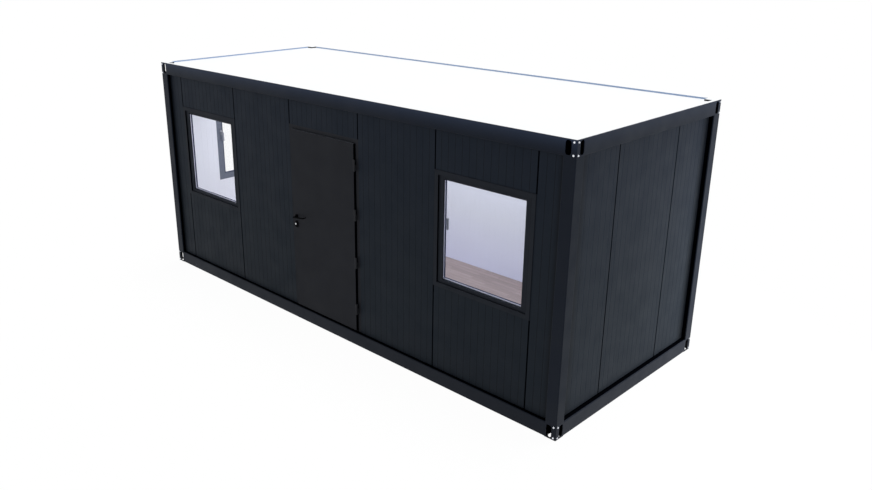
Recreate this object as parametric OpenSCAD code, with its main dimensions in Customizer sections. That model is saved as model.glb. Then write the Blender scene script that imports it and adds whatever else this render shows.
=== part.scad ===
// Portable site cabin: a bolted steel frame with corner castings, ribbed
// sandwich panels, three windows, one outward door and a sunk roof sheet.
// Millimetres, +Z up, front wall at -Y, origin on the ground under the centre.

/* [Cabin] */
// Overall length, along X
cabin_l = 6000; // [5200:10:9000]
// Overall width, along Y
cabin_w = 2400; // [2200:10:3000]
// Overall height, ground to roof edge
cabin_h = 2600; // [2400:10:3000]

/* [Frame] */
// Height of the bottom and top rails, and of the corner castings
rail_h = 140; // [120:1:180]
// Width of the corner posts, castings and inner rail flanges
post_w = 115; // [105:1:140]
// Thickness of the rolled rails and posts
steel_t = 4; // [3:0.5:6]
// Outer radius of the bends in the rails and posts
bend_r = 8; // [6:0.5:12]
// Width of the flange under the bottom rails
foot_flange_w = 70; // [50:1:100]
// Width of the shelf in the top rails that carries the roof sheet
shelf_w = 50; // [40:1:80]
// Wall thickness of the corner castings
casting_t = 6; // [4:0.5:10]
// Width of the lifting slots
slot_w = 56; // [40:1:60]
// Height of the lifting slots
slot_h = 116; // [80:1:118]
// Corner radius of the lifting slots
slot_r = 22; // [8:1:24]
// Slot centre, from the outer vertical edge of the casting
slot_inset = 75; // [70:1:78]
// Hole under each bottom casting
foot_hole_d = 94; // [40:1:100]

/* [Walls] */
// Distance of the panels behind the faces of the frame
wall_recess = 40; // [20:1:44]
// Thickness of the sandwich panels
wall_t = 60; // [40:1:65]
// Rib spacing on the panels
rib_pitch = 79; // [60:1:120]
// Width of a rib groove at the skin
rib_w = 8; // [4:0.5:14]
// Depth of a rib groove
rib_d = 1; // [0.5:0.1:3]
// Width of the shadow line between two panels
seam_w = 14; // [4:0.5:16]
// Depth of that shadow line
seam_d = 8; // [4:0.5:16]
// Width of the strips at the ends of the long walls
corner_panel_w = 324; // [200:1:500]
// Height of the panels over the windows
upper_panel_h = 365; // [200:1:600]
// Thickness of the tongues between panels
tongue_t = 20; // [10:1:30]
// Reach of the tongues between panels
tongue_d = 12; // [6:1:20]
// Width of the middle panel of the right end
end_panel_w = 1000; // [800:1:1200]

/* [Windows] */
// Width of a window and of its panels
window_w = 1094; // [700:1:1100]
// Height of a window
window_h = 1105; // [700:1:1200]
// Visible width of the fixed frame
window_frame_w = 42; // [30:1:60]
// How far the frame stands out from the panels
window_proud = 6; // [2:0.5:12]
// Step from the frame back to the sash
sash_step = 16; // [6:0.5:24]
// Width of the sash stiles
sash_stile_w = 46; // [35:1:70]
// Width of the sash rails
sash_rail_w = 37; // [35:1:70]
// Step from the sash back to the glass
glass_step = 16; // [8:0.5:20]
// Width of the sloped bead round the glass
bead_w = 8; // [2:0.5:16]
// Thickness of the glazing unit
glass_t = 24; // [6:1:26]

/* [Door] */
// Width of the door frame, and of the panel over it
door_w = 1060; // [900:1:1200]
// Height of the panel over the door
over_door_h = 265; // [150:1:500]
// Visible width of the jambs and head
jamb_w = 40; // [30:1:60]
// How far the rebate reaches behind the leaf
stop_w = 16; // [10:1:24]
// Thickness of the leaf
leaf_t = 40; // [30:1:45]
// How far the leaf stands out from the panels
leaf_proud = 20; // [10:1:25]
// Running gap round the leaf
leaf_gap = 5; // [5:0.5:8]
// Number of hinges
hinge_n = 4; // [2:1:5]
// Radius of the hinge knuckles
hinge_r = 11; // [7:0.5:11]
// Height of one hinge
hinge_h = 110; // [80:1:140]
// Height of the lever's axis over the ground
lever_z = 1198; // [950:1:1300]
// Lever's axis, from the closing edge of the leaf
lever_inset = 40; // [30:1:90]
// Length of the lever
lever_l = 160; // [90:1:170]

/* [Floor and roof] */
// Thickness of the floor board
deck_t = 22; // [15:1:30]
// Thickness of the floor covering
covering_t = 12; // [4:1:20]
// Number of floor joists
joist_n = 9; // [6:1:12]
// Thickness of the ceiling board
ceiling_t = 12; // [8:1:20]
// Depth of the roof sheet below the roof edge
roof_drop = 16; // [8:1:30]
// Width of the roof edge trim
trim_w = 36; // [20:1:60]

/* [Hidden] */

// Colours
frame_paint = [0.20, 0.22, 0.24];
panel_paint = [0.22, 0.24, 0.26];
door_paint = [0.21, 0.22, 0.24];
white_paint = [0.93, 0.93, 0.92];
galvanized = [0.62, 0.64, 0.66];
board_tan = [0.70, 0.60, 0.46];
floor_wood = [0.55, 0.49, 0.45];
glass_blue = [0.70, 0.80, 0.86, 0.4];
black_plastic = [0.06, 0.06, 0.06];
satin_steel = [0.75, 0.75, 0.76];
hardware_white = [0.88, 0.88, 0.89];

// Small sizes shared by all pieces
overrun = 1;
panel_gap = 0.6;
round_fn = 48;

// Levels and places worked out from the driving sizes
half_l = cabin_l / 2;
half_w = cabin_w / 2;
trim_t = 2;
post_top_z = cabin_h - rail_h;
frame_top_z = cabin_h - trim_t;
wall_h = post_top_z - rail_h;
wall_in = wall_recess + wall_t;
floor_z = rail_h + covering_t;
inner_y = half_w - wall_in;
panel_x = half_l - wall_recess;
inner_x = half_l - wall_in;
rail_x = half_l - post_w;
rail_y = half_w - post_w;

// Seams of the front and back walls, from the middle outward
door_seam = door_w / 2;
window_seam = panel_x - corner_panel_w;
plain_seam = window_seam - window_w;
plain_w = plain_seam - door_seam;
window_x = (plain_seam + window_seam) / 2;
end_corner_w = inner_y - end_panel_w / 2;
left_side_w = inner_y - window_w / 2;
window_top_z = post_top_z - upper_panel_h;
window_z = window_top_z - window_h;
door_top_z = post_top_z - over_door_h;

// Outline and placing helpers

// An upright bar with half-round ends, about its centre
module stadium(width, height) {
    square([width, height - width], center = true);
    for (side = [-1, 1])
        translate([0, side * (height - width) / 2]) circle(width / 2, $fn = round_fn);
}

// An outline drawn in (along, up), given its depth from one level inward
module inward(from_y, depth) {
    translate([0, from_y + depth, 0]) rotate([90, 0, 0]) linear_extrude(depth) children();
}

// Rails and posts

// A quarter ring of sheet in the corner at the origin
module sheet_bend() {
    intersection() {
        square(bend_r);
        translate([bend_r, bend_r]) difference() {
            circle(bend_r, $fn = round_fn);
            circle(bend_r - steel_t, $fn = round_fn);
        }
    }
}

// A channel with its web outside, drawn in (inward, up)
module channel_profile(height, low_flange, high_flange) {
    translate([0, bend_r]) square([steel_t, height - 2 * bend_r]);
    translate([bend_r, 0]) square([low_flange - bend_r, steel_t]);
    translate([bend_r, height - steel_t]) square([high_flange - bend_r, steel_t]);
    sheet_bend();
    translate([0, height]) mirror([0, 1]) sheet_bend();
}

// A profile drawn in (inward, up), laid along X with its outer face on y = 0
module along_wall(length) {
    translate([-length / 2, 0, 0]) rotate([90, 0, 90]) linear_extrude(length) children();
}

// Puts a piece drawn for the front wall on one of the four sides
module on_front() { translate([0, -half_w, 0]) children(); }
module on_back() { rotate([0, 0, 180]) on_front() children(); }
module on_right() { rotate([0, 0, 90]) translate([0, -half_l, 0]) children(); }
module on_left() { rotate([0, 0, 180]) on_right() children(); }

module base_rail(length) {
    along_wall(length) channel_profile(rail_h, foot_flange_w, post_w);
}

module roof_rail(length) {
    translate([0, 0, post_top_z]) along_wall(length) {
        channel_profile(rail_h - trim_t, post_w, trim_w - trim_t);
        translate([0, sheet_z - post_top_z - steel_t]) square([shelf_w, steel_t]);
    }
}

module base_front_rail() { color(frame_paint) on_front() base_rail(2 * rail_x); }
module base_back_rail() { color(frame_paint) on_back() base_rail(2 * rail_x); }
module base_left_rail() { color(frame_paint) on_left() base_rail(2 * rail_y); }
module base_right_rail() { color(frame_paint) on_right() base_rail(2 * rail_y); }
module roof_front_rail() { color(frame_paint) on_front() roof_rail(2 * rail_x); }
module roof_back_rail() { color(frame_paint) on_back() roof_rail(2 * rail_x); }
module roof_left_rail() { color(frame_paint) on_left() roof_rail(2 * rail_y); }
module roof_right_rail() { color(frame_paint) on_right() roof_rail(2 * rail_y); }

// Folded corner post, drawn for the front left corner: two legs on the
// outside and two lips that reach back to the panels
module corner_post_profile() {
    sheet_bend();
    translate([bend_r, 0]) square([post_w - 2 * bend_r, steel_t]);
    translate([0, bend_r]) square([steel_t, post_w - 2 * bend_r]);
    translate([post_w, 0]) mirror([1, 0]) sheet_bend();
    translate([0, post_w]) mirror([0, 1]) sheet_bend();
    translate([post_w - steel_t, bend_r]) square([steel_t, wall_recess - bend_r]);
    translate([bend_r, post_w - steel_t]) square([wall_recess - bend_r, steel_t]);
}

module corner_post() {
    translate([-half_l, -half_w, rail_h]) linear_extrude(wall_h) corner_post_profile();
}

module front_left_post() { color(frame_paint) corner_post(); }
module front_right_post() { color(frame_paint) mirror([1, 0, 0]) corner_post(); }
module back_left_post() { color(frame_paint) mirror([0, 1, 0]) corner_post(); }
module back_right_post() { color(frame_paint) rotate([0, 0, 180]) corner_post(); }

// A slot with round corners, drawn in (across, up) about its centre
module slot_profile() {
    square([slot_w - 2 * slot_r, slot_h], center = true);
    square([slot_w, slot_h - 2 * slot_r], center = true);
    for (side_x = [-1, 1], side_z = [-1, 1])
        translate([side_x * (slot_w / 2 - slot_r), side_z * (slot_h / 2 - slot_r)])
            circle(slot_r, $fn = round_fn);
}

// Plan of a casting with its outer edge rounded like the posts
module casting_profile() {
    translate([bend_r, 0]) square([post_w - bend_r, post_w]);
    translate([0, bend_r]) square([post_w, post_w - bend_r]);
    translate([bend_r, bend_r]) circle(bend_r, $fn = round_fn);
}

// Hollow casting with a slot in both outer faces, corner at the origin
module corner_casting(height) {
    hollow_w = post_w - 2 * casting_t;
    difference() {
        linear_extrude(height) casting_profile();
        translate([casting_t, casting_t, casting_t])
            cube([hollow_w, hollow_w, height - 2 * casting_t]);
        translate([slot_inset, 0, rail_h / 2])
            inward(-overrun, casting_t + 2 * overrun) slot_profile();
        translate([0, slot_inset, rail_h / 2])
            rotate([0, 0, -90]) inward(-overrun, casting_t + 2 * overrun) slot_profile();
        children();
    }
}

module base_casting() {
    corner_casting(rail_h)
        translate([post_w / 2, post_w / 2, -overrun])
            cylinder(d = foot_hole_d, h = casting_t + 2 * overrun, $fn = round_fn);
}

// The same piece at all four corners
module at_corners() {
    for (turn_x = [0, 1], turn_y = [0, 1])
        mirror([turn_x, 0, 0]) mirror([0, turn_y, 0])
            translate([-half_l, -half_w, 0]) children();
}

module base_corner_castings() { color(frame_paint) at_corners() base_casting(); }

module roof_corner_castings() {
    color(frame_paint) at_corners()
        translate([0, 0, post_top_z]) corner_casting(rail_h - trim_t);
}

// Floor

joist_w = 50;
joist_t = 3;
joist_h = rail_h - deck_t - steel_t;
joist_pitch = 2 * rail_x / (joist_n + 1);

module joist_profile() {
    square([joist_t, joist_h]);
    square([joist_w, joist_t]);
    translate([0, joist_h - joist_t]) square([joist_w, joist_t]);
}

module floor_joists() {
    color(galvanized)
        for (index = [1 : joist_n])
            translate([index * joist_pitch - rail_x - joist_w / 2, 0, steel_t])
                inward(bend_r - half_w, cabin_w - 2 * bend_r) joist_profile();
}

module floor_deck() {
    color(board_tan)
        translate([-rail_x, -rail_y, rail_h - deck_t])
            cube([2 * rail_x, 2 * rail_y, deck_t]);
}

module floor_covering() {
    color(floor_wood)
        translate([-inner_x, -inner_y, rail_h])
            cube([2 * inner_x, 2 * inner_y, covering_t]);
}

// Roof

sheet_t = 2;
sheet_top_z = cabin_h - roof_drop;
sheet_z = sheet_top_z - sheet_t;

// A rectangle with the four casting corners left out
module notched_outline(x, y) {
    difference() {
        square([2 * x, 2 * y], center = true);
        for (side_x = [-1, 1], side_y = [-1, 1])
            translate([side_x * half_l, side_y * half_w]) square(2 * post_w, center = true);
    }
}

// Flat sheet that lies on the shelves of the top rails
module roof_sheet() {
    color(white_paint)
        translate([0, 0, sheet_z])
            linear_extrude(sheet_t) notched_outline(half_l - steel_t, half_w - steel_t);
}

// The cabin's plan with its corners rounded like the posts
module rounded_plan() {
    square([cabin_l - 2 * bend_r, cabin_w], center = true);
    square([cabin_l, cabin_w - 2 * bend_r], center = true);
    for (side_x = [-1, 1], side_y = [-1, 1])
        translate([side_x * (half_l - bend_r), side_y * (half_w - bend_r)])
            circle(bend_r, $fn = round_fn);
}

// Flat edge strip with a corner plate over each casting and a lip inside
module roof_trim() {
    lip_h = frame_top_z - sheet_top_z;
    color(white_paint) {
        translate([0, 0, frame_top_z]) linear_extrude(trim_t)
            difference() {
                rounded_plan();
                notched_outline(half_l - trim_w, half_w - trim_w);
            }
        for (side = [0, 180]) rotate([0, 0, side]) {
            translate([-rail_x, trim_w - trim_t - half_w, sheet_top_z])
                cube([2 * rail_x, trim_t, lip_h]);
            translate([trim_w - trim_t - half_l, -rail_y, sheet_top_z])
                cube([trim_t, 2 * rail_y, lip_h]);
        }
    }
}

module ceiling_board() {
    color(white_paint)
        translate([-inner_x, -inner_y, post_top_z - ceiling_t])
            cube([2 * inner_x, 2 * inner_y, ceiling_t]);
}

// Wall panels

// One rib groove, drawn in (across, into the skin)
module rib_groove() {
    rib_floor_share = 0.5;
    rib_floor = rib_w * rib_floor_share;
    polygon([[-rib_w / 2, -overrun], [rib_w / 2, -overrun], [rib_w / 2, 0],
        [rib_floor / 2, rib_d], [-rib_floor / 2, rib_d], [-rib_w / 2, 0]]);
}

tongue_clear = 0.3;

// Plan of a panel, drawn in (along, inward) about its middle: ribs on both
// skins, half a shadow line at each edge, and a tongue or a groove
module panel_profile(width, tongued) {
    body_w = width - panel_gap;
    rib_n = floor((body_w - seam_w) / rib_pitch);
    groove_t = tongue_t + 2 * tongue_clear;
    difference() {
        union() {
            translate([-body_w / 2, 0]) square([body_w, wall_t]);
            if (tongued)
                translate([-body_w / 2 - tongue_d, (wall_t - tongue_t) / 2])
                    square([body_w + 2 * tongue_d, tongue_t]);
        }
        for (index = [0 : 1 : rib_n - 1])
            translate([(index - (rib_n - 1) / 2) * rib_pitch, 0]) {
                rib_groove();
                translate([0, wall_t]) mirror([0, 1]) rib_groove();
            }
        for (side = [-1, 1]) {
            translate([side * body_w / 2 - seam_w / 2, -overrun])
                square([seam_w, seam_d + overrun]);
            if (!tongued)
                translate([side * body_w / 2 - tongue_d, (wall_t - groove_t) / 2])
                    square([2 * tongue_d, groove_t]);
        }
    }
}

// A panel of the front wall, by its middle, width, levels and edges
module wall_panel(middle, width, low_z, high_z, tongued) {
    translate([middle, wall_recess, low_z])
        linear_extrude(high_z - low_z) panel_profile(width, tongued);
}

module grooved_panel(middle, width) { wall_panel(middle, width, rail_h, post_top_z, false); }
module tongued_panel(middle, width) { wall_panel(middle, width, rail_h, post_top_z, true); }
module upper_panel(middle) { wall_panel(middle, window_w, window_top_z, post_top_z, true); }
module lower_panel(middle) { wall_panel(middle, window_w, rail_h, window_z, true); }

module plain_panels() {
    for (side = [-1, 1]) grooved_panel(side * (door_seam + plain_w / 2), plain_w);
}

module corner_panels() {
    for (side = [-1, 1]) grooved_panel(side * (window_seam + corner_panel_w / 2), corner_panel_w);
}

module front_corner_panels() { color(panel_paint) on_front() corner_panels(); }

module front_plain_panels() { color(panel_paint) on_front() plain_panels(); }

module front_window_upper_panels() {
    color(panel_paint) on_front()
        for (side = [-1, 1]) upper_panel(side * window_x);
}

module front_window_lower_panels() {
    color(panel_paint) on_front()
        for (side = [-1, 1]) lower_panel(side * window_x);
}

module over_door_panel() {
    color(panel_paint) on_front() wall_panel(0, door_w, door_top_z, post_top_z, true);
}

module back_panels() {
    color(panel_paint) on_back() {
        tongued_panel(0, door_w);
        for (side = [-1, 1]) tongued_panel(side * window_x, window_w);
        plain_panels();
        corner_panels();
    }
}

module left_side_panels() {
    color(panel_paint) on_left()
        for (side = [-1, 1]) grooved_panel(side * (window_w + left_side_w) / 2, left_side_w);
}

module left_window_upper_panel() { color(panel_paint) on_left() upper_panel(0); }
module left_window_lower_panel() { color(panel_paint) on_left() lower_panel(0); }

module right_panels() {
    color(panel_paint) on_right() {
        tongued_panel(0, end_panel_w);
        for (side = [-1, 1])
            grooved_panel(side * (end_panel_w + end_corner_w) / 2, end_corner_w);
    }
}

// Windows

sash_gap = 0.5;
window_body_w = window_w - panel_gap;
window_mid_z = window_z + window_h / 2;
window_out_y = wall_recess - window_proud;
sash_y = window_out_y + sash_step;
glass_y = sash_y + glass_step;
sash_w = window_body_w - 2 * window_frame_w - 2 * sash_gap;
sash_h = window_h - 2 * window_frame_w - 2 * sash_gap;
glass_w = sash_w - 2 * sash_stile_w;
glass_h = sash_h - 2 * sash_rail_w;

// A rectangular ring in the wall, drawn about a window's centre
module wall_ring(outer_w, outer_h, inner_w, inner_h, from_y, to_y) {
    depth = to_y - from_y;
    difference() {
        translate([-outer_w / 2, from_y, -outer_h / 2]) cube([outer_w, depth, outer_h]);
        translate([-inner_w / 2, from_y - overrun, -inner_h / 2])
            cube([inner_w, depth + 2 * overrun, inner_h]);
    }
}

module at_window(middle) { translate([middle, 0, window_mid_z]) children(); }

module window_frame() {
    wall_ring(window_body_w, window_h, sash_w + 2 * sash_gap, sash_h + 2 * sash_gap,
        window_out_y, wall_in);
}

// A plain upright plate, drawn about a window's centre
module wall_plate(width, height, from_y, depth) {
    translate([-width / 2, from_y, -height / 2]) cube([width, depth, height]);
}

// Room for a bead that slopes from the glass out to the sash's face
module bead_cut(face_y, glass_face_y) {
    hull() {
        wall_plate(glass_w + 2 * bead_w, glass_h + 2 * bead_w, face_y - overrun / 2, overrun);
        wall_plate(glass_w, glass_h, glass_face_y - overrun / 2, overrun);
    }
}

module window_sash() {
    difference() {
        wall_ring(sash_w, sash_h, glass_w, glass_h, sash_y, wall_in);
        bead_cut(sash_y, glass_y);
        bead_cut(wall_in, glass_y + glass_t);
    }
}

module window_pane() { wall_plate(glass_w, glass_h, glass_y, glass_t); }

handle_base_w = 28;
handle_base_h = 72;
handle_base_t = 8;
handle_neck_r = 8;
handle_neck_l = 46;
handle_rise = 80;
handle_grip_w = 18;
handle_grip_l = 116;
handle_grip_t = 12;

// Base plate, neck and drop lever on the inside of the sash
module window_handle() {
    grip_y = handle_base_t + handle_neck_l - handle_grip_t;
    translate([-sash_w / 2 + sash_stile_w / 2, wall_in, handle_rise]) {
        inward(0, handle_base_t) stadium(handle_base_w, handle_base_h);
        inward(0, handle_base_t + handle_neck_l) circle(handle_neck_r, $fn = round_fn);
        translate([0, 0, (handle_grip_w - handle_grip_l) / 2])
            inward(grip_y, handle_grip_t) stadium(handle_grip_w, handle_grip_l);
    }
}

module front_left_window_frame() { color(frame_paint) on_front() at_window(-window_x) window_frame(); }
module front_right_window_frame() { color(frame_paint) on_front() at_window(window_x) window_frame(); }
module left_end_window_frame() { color(frame_paint) on_left() at_window(0) window_frame(); }
module front_left_window_sash() { color(frame_paint) on_front() at_window(-window_x) window_sash(); }
module front_right_window_sash() { color(frame_paint) on_front() at_window(window_x) window_sash(); }
module left_end_window_sash() { color(frame_paint) on_left() at_window(0) window_sash(); }

// One piece for each of the three windows
module at_all_windows() {
    on_front() {
        at_window(window_x) children();
        at_window(-window_x) mirror([1, 0, 0]) children();
    }
    on_left() at_window(0) mirror([1, 0, 0]) children();
}

module window_glass() { color(glass_blue) at_all_windows() window_pane(); }
module window_handles() { color(hardware_white) at_all_windows() window_handle(); }

// Door

frame_w = door_w - panel_gap;
opening_w = frame_w - 2 * jamb_w;
leaf_w = opening_w - 2 * leaf_gap;
leaf_low_z = floor_z + leaf_gap;
head_low_z = door_top_z - jamb_w;
leaf_high_z = head_low_z - leaf_gap;
leaf_h = leaf_high_z - leaf_low_z;
leaf_y = wall_recess - leaf_proud;
stop_y = leaf_y + leaf_t + leaf_gap;
clear_w = opening_w - 2 * stop_w;
clear_top_z = head_low_z - stop_w;

// Hinge axis, just in front of the leaf's closing face
hinge_x = opening_w / 2 + hinge_r;
hinge_y = leaf_y - leaf_gap;
hinge_plate_t = 4;
hinge_plate_w = 18;
leaf_tab_w = 8;
pin_r = 5;
pin_clear = 0.25;
knuckle_gap = 0.5;
hinge_low = 248;
hinge_high = 213;
hinge_pitch = (leaf_h - hinge_low - hinge_high) / (hinge_n - 1);

module door_frame() {
    frame_h = door_top_z - rail_h;
    color(frame_paint) on_front()
        difference() {
            translate([-frame_w / 2, wall_recess, rail_h]) cube([frame_w, wall_t, frame_h]);
            translate([-opening_w / 2, wall_recess - overrun, floor_z])
                cube([opening_w, stop_y - wall_recess + overrun, head_low_z - floor_z]);
            translate([-clear_w / 2, wall_recess - overrun, floor_z])
                cube([clear_w, wall_t + 2 * overrun, clear_top_z - floor_z]);
        }
}

lever_x = -leaf_w / 2 + lever_inset;
spindle_r = 7;
spindle_clear = 1;
lock_drop = 82;
lock_z = lever_z - lock_drop;
lock_barrel_r = 8.5;
lock_tail_r = 5;
lock_tail_drop = 19;
lock_clear = 0.3;
plate_t = 8;
rose_r = 24;
plate_w = 46;
plate_h = 76;

// Outline of a profile cylinder: a round barrel with a narrow tail under it
module lock_profile(grow) {
    circle(lock_barrel_r + grow, $fn = round_fn);
    translate([0, -lock_tail_drop]) circle(lock_tail_r + grow, $fn = round_fn);
    translate([-lock_tail_r - grow, -lock_tail_drop])
        square([2 * (lock_tail_r + grow), lock_tail_drop]);
}

// Holes for the spindle and the lock through the leaf and its plates
module lock_bores() {
    from_y = leaf_y - plate_t - overrun;
    depth = leaf_t + 2 * (plate_t + overrun);
    translate([lever_x, 0, lever_z]) inward(from_y, depth)
        circle(spindle_r + spindle_clear, $fn = round_fn);
    translate([lever_x, 0, lock_z]) inward(from_y, depth) lock_profile(lock_clear);
}

module door_leaf() {
    color(door_paint) on_front()
        difference() {
            translate([-leaf_w / 2, leaf_y, leaf_low_z]) cube([leaf_w, leaf_t, leaf_h]);
            lock_bores();
        }
}

module at_hinges() {
    for (index = [0 : hinge_n - 1])
        translate([hinge_x, hinge_y, leaf_low_z + hinge_low + index * hinge_pitch])
            children();
}

// Lower knuckle with the pin, carried by a web and a foot on the jamb
module hinge_frame_half() {
    half_h = (hinge_h - knuckle_gap) / 2;
    reach = wall_recess - hinge_y;
    translate([0, 0, -hinge_h / 2]) {
        cylinder(r = hinge_r, h = half_h, $fn = round_fn);
        cylinder(r = pin_r, h = hinge_h, $fn = round_fn);
        translate([-hinge_plate_t / 2, 0, 0]) cube([hinge_plate_t, reach, half_h]);
        translate([-hinge_r, reach - hinge_plate_t, 0])
            cube([hinge_plate_w, hinge_plate_t, half_h]);
    }
}

// Upper knuckle with the bore, carried by a tab on the edge of the leaf's face
module hinge_leaf_half() {
    half_h = (hinge_h - knuckle_gap) / 2;
    reach = leaf_y - hinge_y;
    plate_to = hinge_x - leaf_w / 2 + leaf_tab_w;
    translate([0, 0, hinge_h / 2 - half_h])
        difference() {
            union() {
                cylinder(r = hinge_r, h = half_h, $fn = round_fn);
                translate([-plate_to, reach - hinge_plate_t, 0])
                    cube([plate_to, hinge_plate_t, half_h]);
            }
            translate([0, 0, -overrun])
                cylinder(r = pin_r + pin_clear, h = half_h + 2 * overrun, $fn = round_fn);
        }
}

module hinge_frame_halves() { color(satin_steel) on_front() at_hinges() hinge_frame_half(); }
module hinge_leaf_halves() { color(satin_steel) on_front() at_hinges() hinge_leaf_half(); }

// A round rose and a lock plate on each face of the leaf
module handle_plates() {
    color(black_plastic) on_front()
        for (from_y = [leaf_y - plate_t, leaf_y + leaf_t])
            difference() {
                inward(from_y, plate_t) {
                    translate([lever_x, lever_z]) circle(rose_r, $fn = round_fn);
                    translate([lever_x, lock_z - lock_tail_drop / 4]) stadium(plate_w, plate_h);
                }
                lock_bores();
            }
}

// Profile cylinder through the leaf with a round knob at each end
module lock_cylinder() {
    lock_proud = 1;
    knob_r = 10;
    knob_l = 9;
    from_y = leaf_y - plate_t - lock_proud;
    to_y = leaf_y + leaf_t + plate_t + lock_proud;
    color(satin_steel) on_front()
        translate([lever_x, 0, lock_z]) {
            inward(from_y, to_y - from_y) lock_profile(0);
            inward(from_y - knob_l, knob_l) circle(knob_r, $fn = round_fn);
            inward(to_y, knob_l) circle(knob_r, $fn = round_fn);
        }
}

// Spindle through the leaf; on both sides a neck and a lever that returns
// towards the leaf at its end
module door_lever() {
    neck_r = 6.5;
    neck_l = 44;
    neck_gap = 1;
    grip_w = 14;
    grip_t = 12;
    return_r = 6;
    return_gap = 8;
    lever_tilt = 7;
    spindle_l = leaf_t + 2 * (plate_t + neck_gap);
    reach = spindle_l / 2 + neck_l;
    grip_mid = reach - grip_t / 2;
    return_y = leaf_t / 2 + return_gap;
    color(black_plastic) on_front()
        translate([lever_x, leaf_y + leaf_t / 2, lever_z]) {
            inward(-spindle_l / 2, spindle_l) circle(spindle_r, $fn = round_fn);
            for (side = [0, 1]) mirror([0, side, 0]) {
                inward(spindle_l / 2, grip_mid - spindle_l / 2) circle(neck_r, $fn = round_fn);
                rotate([0, -lever_tilt, 0]) {
                    translate([lever_l / 2, 0, 0])
                        inward(reach - grip_t, grip_t) rotate(90) stadium(grip_w, lever_l + grip_w);
                    translate([lever_l, 0, 0])
                        inward(return_y, grip_mid - return_y) circle(return_r, $fn = round_fn);
                }
            }
        }
}

base_front_rail();
base_back_rail();
base_left_rail();
base_right_rail();
roof_front_rail();
roof_back_rail();
roof_left_rail();
roof_right_rail();
front_left_post();
front_right_post();
back_left_post();
back_right_post();
base_corner_castings();
roof_corner_castings();
floor_joists();
floor_deck();
floor_covering();
roof_sheet();
roof_trim();
ceiling_board();
front_corner_panels();
front_plain_panels();
front_window_upper_panels();
front_window_lower_panels();
over_door_panel();
back_panels();
left_side_panels();
left_window_upper_panel();
left_window_lower_panel();
right_panels();
front_left_window_frame();
front_right_window_frame();
left_end_window_frame();
front_left_window_sash();
front_right_window_sash();
left_end_window_sash();
window_glass();
window_handles();
door_frame();
door_leaf();
hinge_frame_halves();
hinge_leaf_halves();
door_lever();
handle_plates();
lock_cylinder();
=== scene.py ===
"""Dress the portable site cabin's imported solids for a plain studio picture."""
from __future__ import annotations

import logging
import math
from dataclasses import dataclass
from enum import Enum
from typing import Iterable, Protocol, Sequence

import bmesh
import bpy
from mathutils import Matrix, Vector

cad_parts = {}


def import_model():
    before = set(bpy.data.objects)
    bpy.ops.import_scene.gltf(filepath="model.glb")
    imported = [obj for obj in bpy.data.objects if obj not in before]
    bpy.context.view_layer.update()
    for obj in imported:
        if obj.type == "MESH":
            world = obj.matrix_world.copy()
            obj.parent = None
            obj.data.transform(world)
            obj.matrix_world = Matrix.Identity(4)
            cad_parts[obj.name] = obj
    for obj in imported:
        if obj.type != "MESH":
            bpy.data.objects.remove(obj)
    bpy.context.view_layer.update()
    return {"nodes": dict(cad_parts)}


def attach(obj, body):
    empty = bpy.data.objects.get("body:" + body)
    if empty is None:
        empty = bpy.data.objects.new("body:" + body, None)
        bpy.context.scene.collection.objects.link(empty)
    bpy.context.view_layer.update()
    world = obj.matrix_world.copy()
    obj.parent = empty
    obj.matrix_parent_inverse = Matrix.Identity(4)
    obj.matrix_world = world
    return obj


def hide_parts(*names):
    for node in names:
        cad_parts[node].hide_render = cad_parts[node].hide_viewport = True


LOG = logging.getLogger("site_cabin")

# Sizes of the cabin that several classes share, in metres
HALF_L = 3.0
HALF_W = 1.2
POST_W = 0.115
PANEL_FACE = 0.040

# Range in which most of a noise pattern's values lie
NOISE_LOW = 0.3
NOISE_HIGH = 0.7

Colour = tuple[float, float, float]
Socket = bpy.types.NodeSocket


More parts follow.
